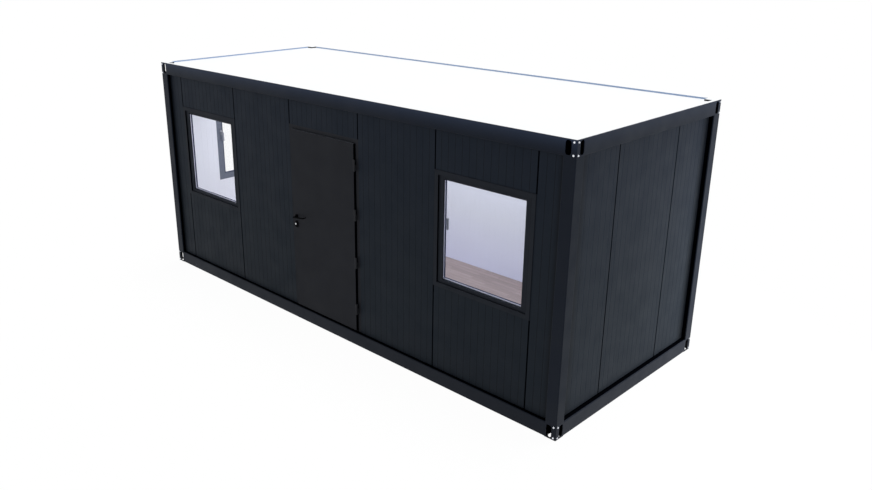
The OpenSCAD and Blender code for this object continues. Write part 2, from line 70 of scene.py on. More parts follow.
class ShaderTree:
    """A material under construction, with short calls for the nodes it uses."""

    def __init__(self, name: str) -> None:
        """Start an empty material.

        Args:
            name: the material's name.
        """
        self.material = bpy.data.materials.new(name)
        self.material.use_nodes = True
        self.nodes = self.material.node_tree.nodes
        self.links = self.material.node_tree.links
        self.nodes.clear()
        output = self.nodes.new("ShaderNodeOutputMaterial")
        self.shader = self.nodes.new("ShaderNodeBsdfPrincipled")
        self.links.new(self.shader.outputs["BSDF"], output.inputs["Surface"])
        self.place = self.nodes.new("ShaderNodeTexCoord").outputs["Object"]

    def set(self, name: str, value: float | Sequence[float]) -> None:
        """Set a constant on one of the shader's own sockets."""
        self.shader.inputs[name].default_value = value

    def feed(self, name: str, source: Socket) -> None:
        """Link a pattern to one of the shader's sockets."""
        self.links.new(source, self.shader.inputs[name])

    def put(self, target: Socket, value: Socket | float | Sequence[float]) -> None:
        """Link a socket, or set a constant, on any node's input.

        Args:
            target: the input.
            value: what it gets.
        """
        if isinstance(value, bpy.types.NodeSocket):
            self.links.new(value, target)
        else:
            target.default_value = value

    def stretched(self, scale: Sequence[float], turn: Sequence[float] = (0.0, 0.0, 0.0)) -> Socket:
        """Scale and turn the object's own coordinates.

        Args:
            scale: factor on each axis.
            turn: rotation on each axis, in radians.

        Returns:
            The mapped vector.
        """
        node = self.nodes.new("ShaderNodeMapping")
        node.inputs["Scale"].default_value = scale
        node.inputs["Rotation"].default_value = turn
        self.links.new(self.place, node.inputs["Vector"])
        return node.outputs["Vector"]

    def noise(self, vector: Socket, scale: float, detail: float = 2.0, rough: float = 0.5) -> Socket:
        """Make a cloudy pattern.

        Args:
            vector: coordinates to read.
            scale: pattern scale, in repeats a metre.
            detail: number of finer layers.
            rough: weight of the finer layers.

        Returns:
            The pattern's strength, about 0 to 1.
        """
        node = self.nodes.new("ShaderNodeTexNoise")
        node.inputs["Scale"].default_value = scale
        node.inputs["Detail"].default_value = detail
        node.inputs["Roughness"].default_value = rough
        self.links.new(vector, node.inputs["Vector"])
        return node.outputs["Fac"]

    def cells(self, vector: Socket, scale: float) -> bpy.types.Node:
        """Make a pattern of cells.

        Args:
            vector: coordinates to read.
            scale: cells a metre.

        Returns:
            The cell node, with Distance and Color outputs.
        """
        node = self.nodes.new("ShaderNodeTexVoronoi")
        node.inputs["Scale"].default_value = scale
        self.links.new(vector, node.inputs["Vector"])
        return node

    def axes(self) -> bpy.types.Node:
        """Split the object's coordinates into X, Y and Z.

        Returns:
            The node, with one output for each axis.
        """
        node = self.nodes.new("ShaderNodeSeparateXYZ")
        self.links.new(self.place, node.inputs["Vector"])
        return node

    def calc(self, kind: str, first: Socket | float, second: Socket | float = 0.0) -> Socket:
        """Work out one number from two.

        Args:
            kind: Blender's name for the operation.
            first: first number.
            second: second number, where the operation has one.

        Returns:
            The result.
        """
        node = self.nodes.new("ShaderNodeMath")
        node.operation = kind
        self.put(node.inputs[0], first)
        self.put(node.inputs[1], second)
        return node.outputs["Value"]

    def span(self, value: Socket, low: float, high: float, to_low: float, to_high: float) -> Socket:
        """Carry a number from one range to another, held at the ends.

        Args:
            value: number to carry.
            low: start of its range.
            high: end of its range.
            to_low: result at the start.
            to_high: result at the end.

        Returns:
            The carried number.
        """
        node = self.nodes.new("ShaderNodeMapRange")
        node.inputs["From Min"].default_value = low
        node.inputs["From Max"].default_value = high
        node.inputs["To Min"].default_value = to_low
        node.inputs["To Max"].default_value = to_high
        self.links.new(value, node.inputs["Value"])
        return node.outputs["Result"]

    def mix(self, share: Socket | float, first: Socket | Colour, second: Socket | Colour,
            kind: str = "MIX") -> Socket:
        """Mix two colours.

        Args:
            share: share of the second colour.
            first: first colour.
            second: second colour.
            kind: Blender's blend name.

        Returns:
            The mixed colour.
        """
        node = self.nodes.new("ShaderNodeMix")
        node.data_type = "RGBA"
        node.blend_type = kind
        by_id = {socket.identifier: socket for socket in node.inputs}
        self.put(by_id["Factor_Float"], share)
        for key, value in (("A_Color", first), ("B_Color", second)):
            self.put(by_id[key], value if isinstance(value, bpy.types.NodeSocket) else (*value, 1.0))
        return next(socket for socket in node.outputs if socket.identifier == "Result_Color")

    def tinted(self, share: Socket | float, paint: Socket, tint: Colour) -> Socket:
        """Multiply a colour by a tint where the share says so.

        Args:
            share: how much of the tint shows, 0 to 1.
            paint: colour to tint.
            tint: factor on each part of the colour.

        Returns:
            The tinted colour.
        """
        return self.mix(share, paint, self.mix(1.0, paint, tint, "MULTIPLY"))

    def patchy(self, pattern: Socket, roughness: float, spread: float) -> None:
        """Let the roughness follow a noise pattern.

        Args:
            pattern: noise to follow.
            roughness: middle of the roughness.
            spread: how far it goes up and down.
        """
        self.feed("Roughness", self.span(pattern, NOISE_LOW, NOISE_HIGH, roughness - spread,
                                         roughness + spread))

    def bump(self, height: Socket, depth: float, strength: float, under: Socket | None = None) -> Socket:
        """Turn a pattern into a relief.

        Args:
            height: pattern that is read as height.
            depth: height of the relief in metres.
            strength: share of the relief that shows.
            under: relief that this one lies on.

        Returns:
            The bent normal.
        """
        node = self.nodes.new("ShaderNodeBump")
        node.inputs["Distance"].default_value = depth
        node.inputs["Strength"].default_value = strength
        self.links.new(height, node.inputs["Height"])
        if under is not None:
            self.links.new(under, node.inputs["Normal"])
        return node.outputs["Normal"]


def toned(colour: Colour, factor: float) -> Colour:
    """Return a colour made darker or lighter by a factor."""
    return tuple(min(1.0, part * factor) for part in colour)


class Finish(Protocol):
    """Anything that can make one material."""

    @property
    def name(self) -> str:
        """Name the material."""

    def material(self) -> bpy.types.Material:
        """Build the material."""


@dataclass(frozen=True)
class SatinPaint:
    """Powder coat: slow random tone changes, fine orange peel, dust low down, and painted light by height
    and face: painted cool light higher up, painted shade on end faces, a painted light band along the top.
    """

    name: str
    colour: Colour
    roughness: float = 0.55
    gloss: float = 0.080
    cloud_scale: float = 0.9
    cloud_spread: float = 0.08
    patch_scale: float = 5.0
    patch_spread: float = 0.05
    peel_scale: float = 520.0
    peel_depth: float = 0.0004
    peel_strength: float = 0.10
    dust: Colour = (0.16, 0.155, 0.15)
    dust_share: float = 0.10
    dust_height: float = 0.45
    dust_scale: float = 38.0
    # Painted light: a paler colour along the top, between these heights, weaker on the end faces
    painted_top_light: Colour | None = None
    top_light_from: float = 2.46
    top_light_to: float = 2.60
    top_light_curve: float = 1.6
    top_light_end_share: float = 0.36
    end_face: float = 2.9995
    end_blend: float = 0.002
    # Painted shade: factor that darkens the outer end faces
    end_shade_tint: Colour | None = None
    # Painted light: a cooler tint that grows towards the upper part
    upper_cool_light_tint: Colour | None = None
    upper_from: float = 0.9
    upper_to: float = 2.4

    def shade(self, tree: ShaderTree) -> Socket:
        """Lay slow random tone changes, painted cool light higher up, painted shade on the end faces, a
        painted light band along the top and low dust over the paint.

        Args:
            tree: the material under construction.

        Returns:
            The painted colour.
        """
        cloud = tree.noise(tree.place, self.cloud_scale, detail=4.0, rough=0.6)
        paint = tree.mix(cloud, toned(self.colour, 1.0 - self.cloud_spread),
                         toned(self.colour, 1.0 + self.cloud_spread))
        axes = tree.axes()
        height = axes.outputs["Z"]
        # Painted shade on the outer end faces
        if self.end_shade_tint is not None:
            reach = tree.calc("ABSOLUTE", axes.outputs["X"])
            ends = tree.calc("GREATER_THAN", reach, self.end_face)
            paint = tree.tinted(ends, paint, self.end_shade_tint)
        # Painted cool light on the upper part
        if self.upper_cool_light_tint is not None:
            upper = tree.span(height, self.upper_from, self.upper_to, 0.0, 1.0)
            paint = tree.tinted(upper, paint, self.upper_cool_light_tint)
        # Painted light band along the top, less of it on the end faces
        if self.painted_top_light is not None:
            reach = tree.calc("ABSOLUTE", axes.outputs["X"])
            rise = tree.span(height, self.top_light_from, self.top_light_to, 0.0, 1.0)
            side = tree.span(reach, self.end_face - self.end_blend, self.end_face,
                             1.0, self.top_light_end_share)
            share = tree.calc("MULTIPLY", tree.calc("POWER", rise, self.top_light_curve), side)
            paint = tree.mix(share, paint, self.painted_top_light)
        low = tree.span(height, 0.0, self.dust_height, self.dust_share, 0.0)
        speck = tree.noise(tree.place, self.dust_scale, detail=5.0, rough=0.7)
        return tree.mix(tree.calc("MULTIPLY", low, speck), paint, self.dust)

    def relief(self, tree: ShaderTree) -> None:
        """Give the coat its gloss, orange peel and patchy roughness.

        Args:
            tree: the material under construction.
        """
        patch = tree.noise(tree.place, self.patch_scale, detail=3.0)
        tree.patchy(patch, self.roughness, self.patch_spread)
        tree.set("Specular IOR Level", self.gloss)
        peel = tree.noise(tree.place, self.peel_scale, detail=2.0)
        tree.feed("Normal", tree.bump(peel, self.peel_depth, self.peel_strength))

    def material(self) -> bpy.types.Material:
        """Build the coat from its shade and its relief.

        Returns:
            The coat.
        """
        tree = ShaderTree(self.name)
        tree.feed("Base Color", self.shade(tree))
        self.relief(tree)
        return tree.material


@dataclass(frozen=True)
class TwoTonePaint(SatinPaint):
    """A coat that changes where a piece's inner face begins."""

    inner: Colour = (0.74, 0.755, 0.800)
    inner_x: float = 2.9045
    inner_y: float = 1.1045
    inner_top: float = 9.0
    lining_scale: float = 1.3
    lining_tone: float = 0.97
    # Painted light: a bluer tint on the inner lining that grows towards the floor
    low_cool_light_tint: Colour | None = None
    foot_from: float = 0.15
    foot_to: float = 0.85
    groove_depth: float | None = None
    groove_floor: float = 0.0025
    # Painted shade in the long walls' grooves, painted light in the end walls' grooves
    long_groove_shade: float = 0.55
    end_groove_light: float = 1.5
    # Painted shade beside the posts
    corner_w: tuple[float, float] = (0.080, 0.175)
    corner_shade_tone: float = 0.45
    corner_depth: float = 0.050
    corner_full: float = 0.35
    corner_curve: float = 1.5

    def material(self) -> bpy.types.Material:
        """Build the coat, with the lining's colour on the inner faces.

        Returns:
            The coat.
        """
        tree = ShaderTree(self.name)
        axes = tree.axes()
        along = tree.calc("LESS_THAN", tree.calc("ABSOLUTE", axes.outputs["X"]), self.inner_x)
        across = tree.calc("LESS_THAN", tree.calc("ABSOLUTE", axes.outputs["Y"]), self.inner_y)
        below = tree.calc("LESS_THAN", axes.outputs["Z"], self.inner_top)
        inside = tree.calc("MULTIPLY", tree.calc("MULTIPLY", along, across), below)
        cloud = tree.noise(tree.place, self.lining_scale, detail=3.0)
        lining = tree.mix(cloud, toned(self.inner, self.lining_tone), self.inner)
        # Painted cool light on the lining, low down
        if self.low_cool_light_tint is not None:
            foot = tree.span(axes.outputs["Z"], self.foot_from, self.foot_to, 1.0, 0.0)
            lining = tree.tinted(foot, lining, self.low_cool_light_tint)
        paint = self.shade(tree)
        if self.groove_depth is not None:
            paint = self.shaded_corners(tree, self.grooved(tree, paint))
        tree.feed("Base Color", tree.mix(inside, paint, lining))
        self.relief(tree)
        return tree.material

    def grooved(self, tree: ShaderTree, paint: Socket) -> Socket:
        """Give the rib grooves painted shade on the long walls and painted light on the end walls, found by
        how far they lie behind the panels' faces.

        Args:
            tree: the material under construction.
            paint: colour of the faces.

        Returns:
            The colour with the grooves in it.
        """
        axes = tree.axes()
        for axis, half, tone in (("Y", HALF_W, self.long_groove_shade), ("X", HALF_L, self.end_groove_light)):
            reach = tree.calc("ABSOLUTE", axes.outputs[axis])
            level = half - PANEL_FACE
            low = tree.calc("LESS_THAN", reach, level - self.groove_depth)
            high = tree.calc("GREATER_THAN", reach, level - self.groove_floor)
            paint = tree.tinted(tree.calc("MULTIPLY", low, high), paint, (tone,) * 3)
        return paint

    def shaded_corners(self, tree: ShaderTree, paint: Socket) -> Socket:
        """Paint shade on the panels' faces where they run in behind the posts, darker towards the posts.

        Args:
            tree: the material under construction.
            paint: colour of the faces.

        Returns:
            The colour with the darker corners in it.
        """
        axes = tree.axes()
        front_w, end_w = self.corner_w
        corners = (("Y", HALF_W, "X", HALF_L - POST_W, front_w), ("X", HALF_L, "Y", HALF_W - POST_W, end_w))
        for axis, half, other, post, width in corners:
            reach = tree.calc("ABSOLUTE", axes.outputs[axis])
            outer = tree.calc("GREATER_THAN", reach, half - self.corner_depth)
            near = tree.span(tree.calc("ABSOLUTE", axes.outputs[other]), post - width,
                             post - self.corner_full * width, 0.0, 1.0)
            share = tree.calc("MULTIPLY", outer, tree.calc("POWER", near, self.corner_curve))
            paint = tree.tinted(share, paint, (self.corner_shade_tone,) * 3)
        return paint


@dataclass(frozen=True)
class MouldedPlastic:
    """Moulded or extruded plastic with a fine even grain."""

    name: str
    colour: Colour
    roughness: float = 0.5
    gloss: float = 0.3
    rough_spread: float = 0.06
    cloud_scale: float = 9.0
    cloud_tones: tuple[float, float] = (0.93, 1.06)
    grain_scale: float = 900.0
    grain_depth: float = 0.0002
    grain_strength: float = 0.12

    def material(self) -> bpy.types.Material:
        """Build the plastic with its slow clouds and fine grain.

        Returns:
            The plastic.
        """
        tree = ShaderTree(self.name)
        cloud = tree.noise(tree.place, self.cloud_scale, detail=3.0)
        dark, pale = (toned(self.colour, tone) for tone in self.cloud_tones)
        tree.feed("Base Color", tree.mix(cloud, dark, pale))
        grain = tree.noise(tree.place, self.grain_scale, detail=2.0)
        tree.patchy(grain, self.roughness, self.rough_spread)
        tree.set("Specular IOR Level", self.gloss)
        tree.feed("Normal", tree.bump(grain, self.grain_depth, self.grain_strength))
        return tree.material


@dataclass(frozen=True)
class BareMetal:
    """Plated or brushed metal; a spangle scale above zero gives zinc flowers."""

    name: str
    colour: Colour
    roughness: float = 0.3
    rough_spread: float = 0.08
    spangle_scale: float = 0.0
    brush: tuple[float, float, float] = (60.0, 60.0, 900.0)
    brush_scale: float = 3.0
    spread: float = 0.06
    relief_depth: float = 0.0001
    relief_strength: float = 0.15

    def material(self) -> bpy.types.Material:
        """Build the metal with its spangles or brush marks.

        Returns:
            The metal.
        """
        tree = ShaderTree(self.name)
        tree.set("Metallic", 1.0)
        if self.spangle_scale > 0.0:
            pattern = tree.calc("FRACT", tree.cells(tree.place, self.spangle_scale).outputs["Color"])
        else:
            pattern = tree.noise(tree.stretched(self.brush), self.brush_scale, detail=3.0)
        tree.feed("Base Color", tree.mix(pattern, toned(self.colour, 1.0 - self.spread),
                                         toned(self.colour, 1.0 + self.spread)))
        tree.feed("Roughness", tree.span(pattern, 0.0, 1.0, self.roughness - self.rough_spread,
                                         self.roughness + self.rough_spread))
        tree.feed("Normal", tree.bump(pattern, self.relief_depth, self.relief_strength))
        return tree.material


@dataclass(frozen=True)
class LaminatePlanks:
    """Wood-look strips laid along the cabin, with grain and thin joints."""

    name: str
    pale: Colour = (0.366, 0.292, 0.274)
    dark: Colour = (0.255, 0.200, 0.190)
    joint: Colour = (0.12, 0.09, 0.075)
    strip_l: float = 0.64
    strip_w: float = 0.064
    strip_shift: float = 0.37
    strip_tone: float = 0.76
    joint_w: float = 0.0012
    joint_soft: float = 0.1
    joint_relief: tuple[float, float] = (0.0008, 0.5)
    grain_scale: tuple[float, float, float] = (2.2, 46.0, 46.0)
    grain_range: tuple[float, float] = (0.42, 0.68)
    grain_share: float = 0.75
    grain_relief: tuple[float, float] = (0.0004, 0.12)
    rough_range: tuple[float, float] = (0.2, 0.8)
    roughness: tuple[float, float] = (0.42, 0.60)
    gloss: float = 0.3

    def material(self) -> bpy.types.Material:
        """Build the strips, the grain over them and the joints.

        Returns:
            The laminate.
        """
        tree = ShaderTree(self.name)
        strips = tree.nodes.new("ShaderNodeTexBrick")
        strips.offset = self.strip_shift
        strips.offset_frequency = 2
        for key, value in (("Scale", 1.0), ("Bias", 0.0), ("Mortar Size", self.joint_w),
                           ("Mortar Smooth", self.joint_soft), ("Brick Width", self.strip_l),
                           ("Row Height", self.strip_w)):
            strips.inputs[key].default_value = value
        for key, colour in (("Color1", self.pale), ("Color2", toned(self.pale, self.strip_tone)),
                            ("Mortar", self.joint)):
            strips.inputs[key].default_value = (*colour, 1.0)
        tree.links.new(tree.place, strips.inputs["Vector"])
        grain = tree.noise(tree.stretched(self.grain_scale), 1.0, detail=6.0, rough=0.65)
        streak = tree.span(grain, *self.grain_range, 0.0, self.grain_share)
        wood = tree.mix(streak, strips.outputs["Color"], self.dark)
        tree.feed("Base Color", tree.mix(strips.outputs["Fac"], wood, self.joint))
        tree.feed("Roughness", tree.span(grain, *self.rough_range, *self.roughness))
        tree.set("Specular IOR Level", self.gloss)
        joints = tree.bump(tree.calc("SUBTRACT", 1.0, strips.outputs["Fac"]), *self.joint_relief)
        tree.feed("Normal", tree.bump(grain, *self.grain_relief, joints))
        return tree.material


@dataclass(frozen=True)
class ChipBoard:
    """Raw floor board pressed from flakes, seen from below."""

    name: str
    pale: Colour = (0.52, 0.40, 0.26)
    dark: Colour = (0.33, 0.23, 0.13)
    flake_scale: tuple[float, float, float] = (16.0, 42.0, 30.0)
    flake_turn: tuple[float, float, float] = (0.0, 0.0, 0.5)
    flake_relief: tuple[float, float] = (0.0006, 0.4)
    fibre_scale: tuple[float, float, float] = (30.0, 240.0, 30.0)
    fibre_share: float = 0.4
    roughness: float = 0.8
    gloss: float = 0.2

    def material(self) -> bpy.types.Material:
        """Build the flakes, with fibres over them.

        Returns:
            The board.
        """
        tree = ShaderTree(self.name)
        flakes = tree.cells(tree.stretched(self.flake_scale, self.flake_turn), 1.0)
        shade = tree.calc("FRACT", flakes.outputs["Color"])
        fibre = tree.noise(tree.stretched(self.fibre_scale), 1.0, detail=4.0)
        wood = tree.mix(shade, self.dark, self.pale)
        tree.feed("Base Color", tree.mix(tree.calc("MULTIPLY", fibre, self.fibre_share), wood, self.dark))
        tree.set("Roughness", self.roughness)
        tree.set("Specular IOR Level", self.gloss)
        tree.feed("Normal", tree.bump(shade, *self.flake_relief))
        return tree.material


@dataclass(frozen=True)
class ClearGlass:
    """Clear glazing: mostly see-through with a cool tint and a faint gloss."""

    name: str
    tint: Colour = (0.66, 0.76, 0.92)
    cover: float = 0.011
    roughness: float = 0.03
    film_scale: float = 2.5
    film_tone: float = 0.96

    def material(self) -> bpy.types.Material:
        """Build the glass, blended so that the room shows through.

        Returns:
            The glass.
        """
        tree = ShaderTree(self.name)
        film = tree.noise(tree.place, self.film_scale, detail=3.0)
        tree.feed("Base Color", tree.mix(film, toned(self.tint, self.film_tone), self.tint))
        tree.set("Roughness", self.roughness)
        tree.set("Alpha", self.cover)
        tree.material.surface_render_method = "BLENDED"
        return tree.material


ANTHRACITE: Colour = (0.0165, 0.0228, 0.0318)
FRAME_BLUE: Colour = (0.0062, 0.0102, 0.0196)
# Painted light on the tops of the frame: a paler blue that stands for sky light
FRAME_TOP_LIGHT: Colour = (0.043, 0.060, 0.106)
FRAME_COAT = SatinPaint("frame_coat", FRAME_BLUE, roughness=0.5, gloss=0.139, painted_top_light=FRAME_TOP_LIGHT)
# The front posts wear painted shade on their end faces
POST_COAT = SatinPaint("front_post_coat", FRAME_BLUE, roughness=0.5, gloss=0.139, painted_top_light=FRAME_TOP_LIGHT,
                       end_shade_tint=(0.0, 0.35, 0.55))
# The castings' inner faces are near black: painted shade in their hollows
CASTING_COAT = TwoTonePaint("casting_coat", FRAME_BLUE, roughness=0.5, gloss=0.139, painted_top_light=FRAME_TOP_LIGHT,
                            inner=(0.0012, 0.0014, 0.0022), inner_x=2.9945, inner_y=1.1945)
# Panels: painted cool light higher up outside, and painted cool light low on the inner lining
PANEL_COAT = TwoTonePaint("panel_coat", ANTHRACITE, gloss=0.110, groove_depth=0.0003,
                          upper_cool_light_tint=(1.0, 1.01, 1.13), low_cool_light_tint=(1.02, 1.02, 1.15))
# The sashes' inner faces are blue-grey: painted shade on light plastic
SASH_PLASTIC = TwoTonePaint("sash_plastic", (0.0232, 0.0268, 0.0350), roughness=0.62, gloss=0.132,
                            inner=(0.130, 0.145, 0.182), inner_x=2.9335, inner_y=1.1335)
DOOR_COAT = TwoTonePaint("door_coat", (0.0310, 0.0318, 0.0375), roughness=0.58, gloss=0.088, inner_x=2.9,
                         inner_y=1.1425)
JAMB_COAT = TwoTonePaint("jamb_coat", (0.0300, 0.0310, 0.0368), roughness=0.58, gloss=0.088, inner_x=2.9,
                         inner_y=1.1045)
ROOF_COAT = SatinPaint("roof_coat", (0.90, 0.90, 0.90), roughness=0.5, gloss=0.3, cloud_spread=0.015,
                       dust_share=0.0)
# The white trim's inner faces are pale blue: painted shade
TRIM_COAT = TwoTonePaint("trim_coat", (0.90, 0.90, 0.90), roughness=0.5, gloss=0.3, cloud_spread=0.015,
                         dust_share=0.0, inner=(0.42, 0.56, 0.82), inner_x=2.967, inner_y=1.167,
                         inner_top=2.599)
CEILING_BOARD = MouldedPlastic("ceiling_board_white", (0.80, 0.80, 0.82), roughness=0.7, gloss=0.2)
FLOOR_PLANKS = LaminatePlanks("floor_planks")
DECK_BOARD = ChipBoard("deck_board")
JOIST_ZINC = BareMetal("joist_zinc", (0.55, 0.57, 0.60), roughness=0.42, spangle_scale=70.0, spread=0.14)
HINGE_STEEL = SatinPaint("hinge_steel", (0.036, 0.037, 0.041), roughness=0.45, gloss=0.106, dust_share=0.0)
LEVER_BLACK = MouldedPlastic("lever_black", (0.0015, 0.0016, 0.0022), roughness=0.40, gloss=0.015)
LOCK_BLACK = MouldedPlastic("lock_black", (0.004, 0.004, 0.005), roughness=0.35, gloss=0.05)
LOCK_NICKEL = BareMetal("lock_nickel", (0.86, 0.85, 0.83), roughness=0.25)
HANDLE_GREY = MouldedPlastic("handle_grey", (0.30, 0.31, 0.34), roughness=0.4)
SEAL_RUBBER = MouldedPlastic("seal_rubber", (0.0012, 0.0015, 0.0026), roughness=0.7, gloss=0.0)
BEAD_GREY = MouldedPlastic("bead_grey", (0.030, 0.040, 0.088), roughness=0.6, gloss=0.2)
SPACER_PALE = MouldedPlastic("spacer_pale", (0.71, 0.71, 0.84), roughness=0.4)
# Painted light: pale grey that lightens the door leaf's top edge
LIT_EDGE_GREY = MouldedPlastic("lit_edge_grey", (0.105, 0.110, 0.125), roughness=0.6, gloss=0.1)
BOLT_ZINC = BareMetal("bolt_zinc", (0.93, 0.93, 0.94), roughness=0.22)
PANE_GLASS = ClearGlass("pane_glass")

_MADE: dict[str, bpy.types.Material] = {}


def material_of(finish: Finish) -> bpy.types.Material:
    """Make a finish's material once and hand out the same one after that.

    Args:
        finish: the finish.

    Returns:
        Its material.
    """
    if finish.name not in _MADE:
        _MADE[finish.name] = finish.material()
    return _MADE[finish.name]


class Wall(Enum):
    """The four walls: how far each is turned about Z, and its distance from the middle."""

    FRONT = (0.0, HALF_W)
    RIGHT_END = (90.0, HALF_L)
    BACK = (180.0, HALF_W)
    LEFT_END = (270.0, HALF_L)

    def matrix(self, along: float, up: float) -> Matrix:
        """Place a drawing on the wall.

        Args:
            along: place of its centre along the wall.
            up: height of its centre.

        Returns:
            Matrix from (along, inward, up) to the shared frame.
        """
        turn, reach = self.value
        return Matrix.Rotation(math.radians(turn), 4, "Z") @ Matrix.Translation((along, -reach, up))

    @property
    def is_long(self) -> bool:
        """Tell the two long walls from the two ends."""
        return self in (Wall.FRONT, Wall.BACK)

    def recess_width(self) -> float:
        """Give the clear width between the wall's two posts."""
        return 2.0 * ((HALF_L if self.is_long else HALF_W) - POST_W)


# The three windows: wall, and place of the middle along it
WINDOW_CENTRES = ((Wall.FRONT, -2.089), (Wall.FRONT, 2.089), (Wall.LEFT_END, 0.0))

# Edges that turn more than this count as sharp
SHARP_ANGLE = math.radians(30.0)

# Points nearer to a lathe's axis than this lie on it
ON_AXIS = 1e-7


class Shapes:
    """Closed mesh shapes that several sub-assemblies share."""

    @staticmethod
    def block(form: bmesh.types.BMesh, low: Sequence[float], high: Sequence[float],
              place: Matrix = Matrix()) -> None:
        """Add a block between two corners.

        Args:
            form: mesh to add to.
            low: lowest corner.
            high: highest corner.
            place: matrix that sets it in the shared frame.
        """
        size = [top - base for base, top in zip(low, high)]
        middle = [(top + base) / 2.0 for base, top in zip(low, high)]
        local = Matrix.Translation(middle) @ Matrix.Diagonal((*size, 1.0))
        bmesh.ops.create_cube(form, size=1.0, matrix=place @ local)

    @staticmethod
    def ring(form: bmesh.types.BMesh, outer: tuple[float, float], inner: tuple[float, float],
             near: float, far: float, place: Matrix) -> None:
        """Add a rectangular ring that lies in a wall, mitred at its corners.

        Args:
            form: mesh to add to.
            outer: outer width and height.
            inner: inner width and height.
            near: depth of its outer face.
            far: depth of its inner face.
            place: matrix that sets it on the wall.
        """
        def corners(size: tuple[float, float], depth: float) -> list[bmesh.types.BMVert]:
            """Add the four corners of one rectangle."""
            signs = ((-0.5, -0.5), (0.5, -0.5), (0.5, 0.5), (-0.5, 0.5))
            return [form.verts.new(place @ Vector((x * size[0], depth, z * size[1]))) for x, z in signs]

        loops = [corners(outer, near), corners(inner, near), corners(inner, far), corners(outer, far)]
        for first, second in zip(loops, loops[1:] + loops[:1]):
            for index in range(4):
                after = (index + 1) % 4
                form.faces.new((first[index], first[after], second[after], second[index]))

    @staticmethod
    def lathe(form: bmesh.types.BMesh, outline: Sequence[tuple[float, float]], steps: int,
              place: Matrix = Matrix()) -> None:
        """Turn an outline of (radius, height) about Z.

        Args:
            form: mesh to add to.
            outline: points from one end of the axis to the other.
            steps: number of facets round the axis.
            place: matrix that sets it in the shared frame.
        """
        rows: list[list[bmesh.types.BMVert]] = []
        for radius, height in outline:
            if radius < ON_AXIS:
                rows.append([form.verts.new(place @ Vector((0.0, 0.0, height)))])
                continue
            row = []
            for index in range(steps):
                angle = math.tau * index / steps
                point = Vector((radius * math.cos(angle), radius * math.sin(angle), height))
                row.append(form.verts.new(place @ point))
            rows.append(row)
        for first, second in zip(rows, rows[1:]):
            for index in range(steps):
                after = (index + 1) % steps
                face = [first[index % len(first)], first[after % len(first)],
                        second[after % len(second)], second[index % len(second)]]
                form.faces.new(list(dict.fromkeys(face)))

    @staticmethod
    def extruded(form: bmesh.types.BMesh, outline: Sequence[tuple[float, float]], length: float,
                 place: Matrix) -> None:
        """Extrude a closed outline of (inward, up) along a wall, about its middle.

        Args:
            form: mesh to add to.
            outline: corners in order.
            length: length along the wall.
            place: matrix that sets it on the wall.
        """
        ends = [[form.verts.new(place @ Vector((side * length, inward, up))) for inward, up in outline]
                for side in (-0.5, 0.5)]
        for index in range(len(outline)):
            after = (index + 1) % len(outline)
            form.faces.new((ends[0][index], ends[0][after], ends[1][after], ends[1][index]))
        form.faces.new(ends[0])
        form.faces.new(ends[1])

    @staticmethod
    def soften(form: bmesh.types.BMesh, width: float, segments: int = 2) -> None:
        """Round every sharp edge of the mesh.

        Args:
            form: mesh to round.
            width: width of the rounding.
            segments: facets in it.
        """
        sharp = [edge for edge in form.edges if edge.calc_face_angle(0.0) > SHARP_ANGLE]
        bmesh.ops.bevel(form, geom=sharp, offset=width, segments=segments, affect="EDGES", profile=0.5,
                        clamp_overlap=True)


def finished(name: str, form: bmesh.types.BMesh, finish: Finish, body: str,
             smooth: bool = False) -> bpy.types.Object:
    """Turn a mesh under construction into a piece that rides on a body.

    Args:
        name: piece name.
        form: closed mesh, freed here.
        finish: finish that it wears.
        body: CAD body that carries it.
        smooth: whether its faces are shaded smooth.

    Returns:
        The piece.
    """
    bmesh.ops.recalc_face_normals(form, faces=form.faces[:])
    mesh = bpy.data.meshes.new(name)
    form.to_mesh(mesh)
    form.free()
    piece = bpy.data.objects.new(name, mesh)
    bpy.context.scene.collection.objects.link(piece)
    if smooth:
        mesh.polygons.foreach_set("use_smooth", [True] * len(mesh.polygons))
    return dressed(piece, finish, body)


def dressed(piece: bpy.types.Object, finish: Finish, body: str) -> bpy.types.Object:
    """Give a piece its finish, body and slot, and log it.

    Args:
        piece: the piece.
        finish: finish that it wears.
        body: CAD body that carries it.

    Returns:
        The same piece.
    """
    piece.data.materials.clear()
    piece.data.materials.append(material_of(finish))
    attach(piece, body)
    LOG.info("%s: %d faces on %s", piece.name, len(piece.data.polygons), body)
    return piece


@dataclass(frozen=True)
class Spot:
    """One fastener's seat and the way that its head faces."""

    seat: Vector
    facing: Vector


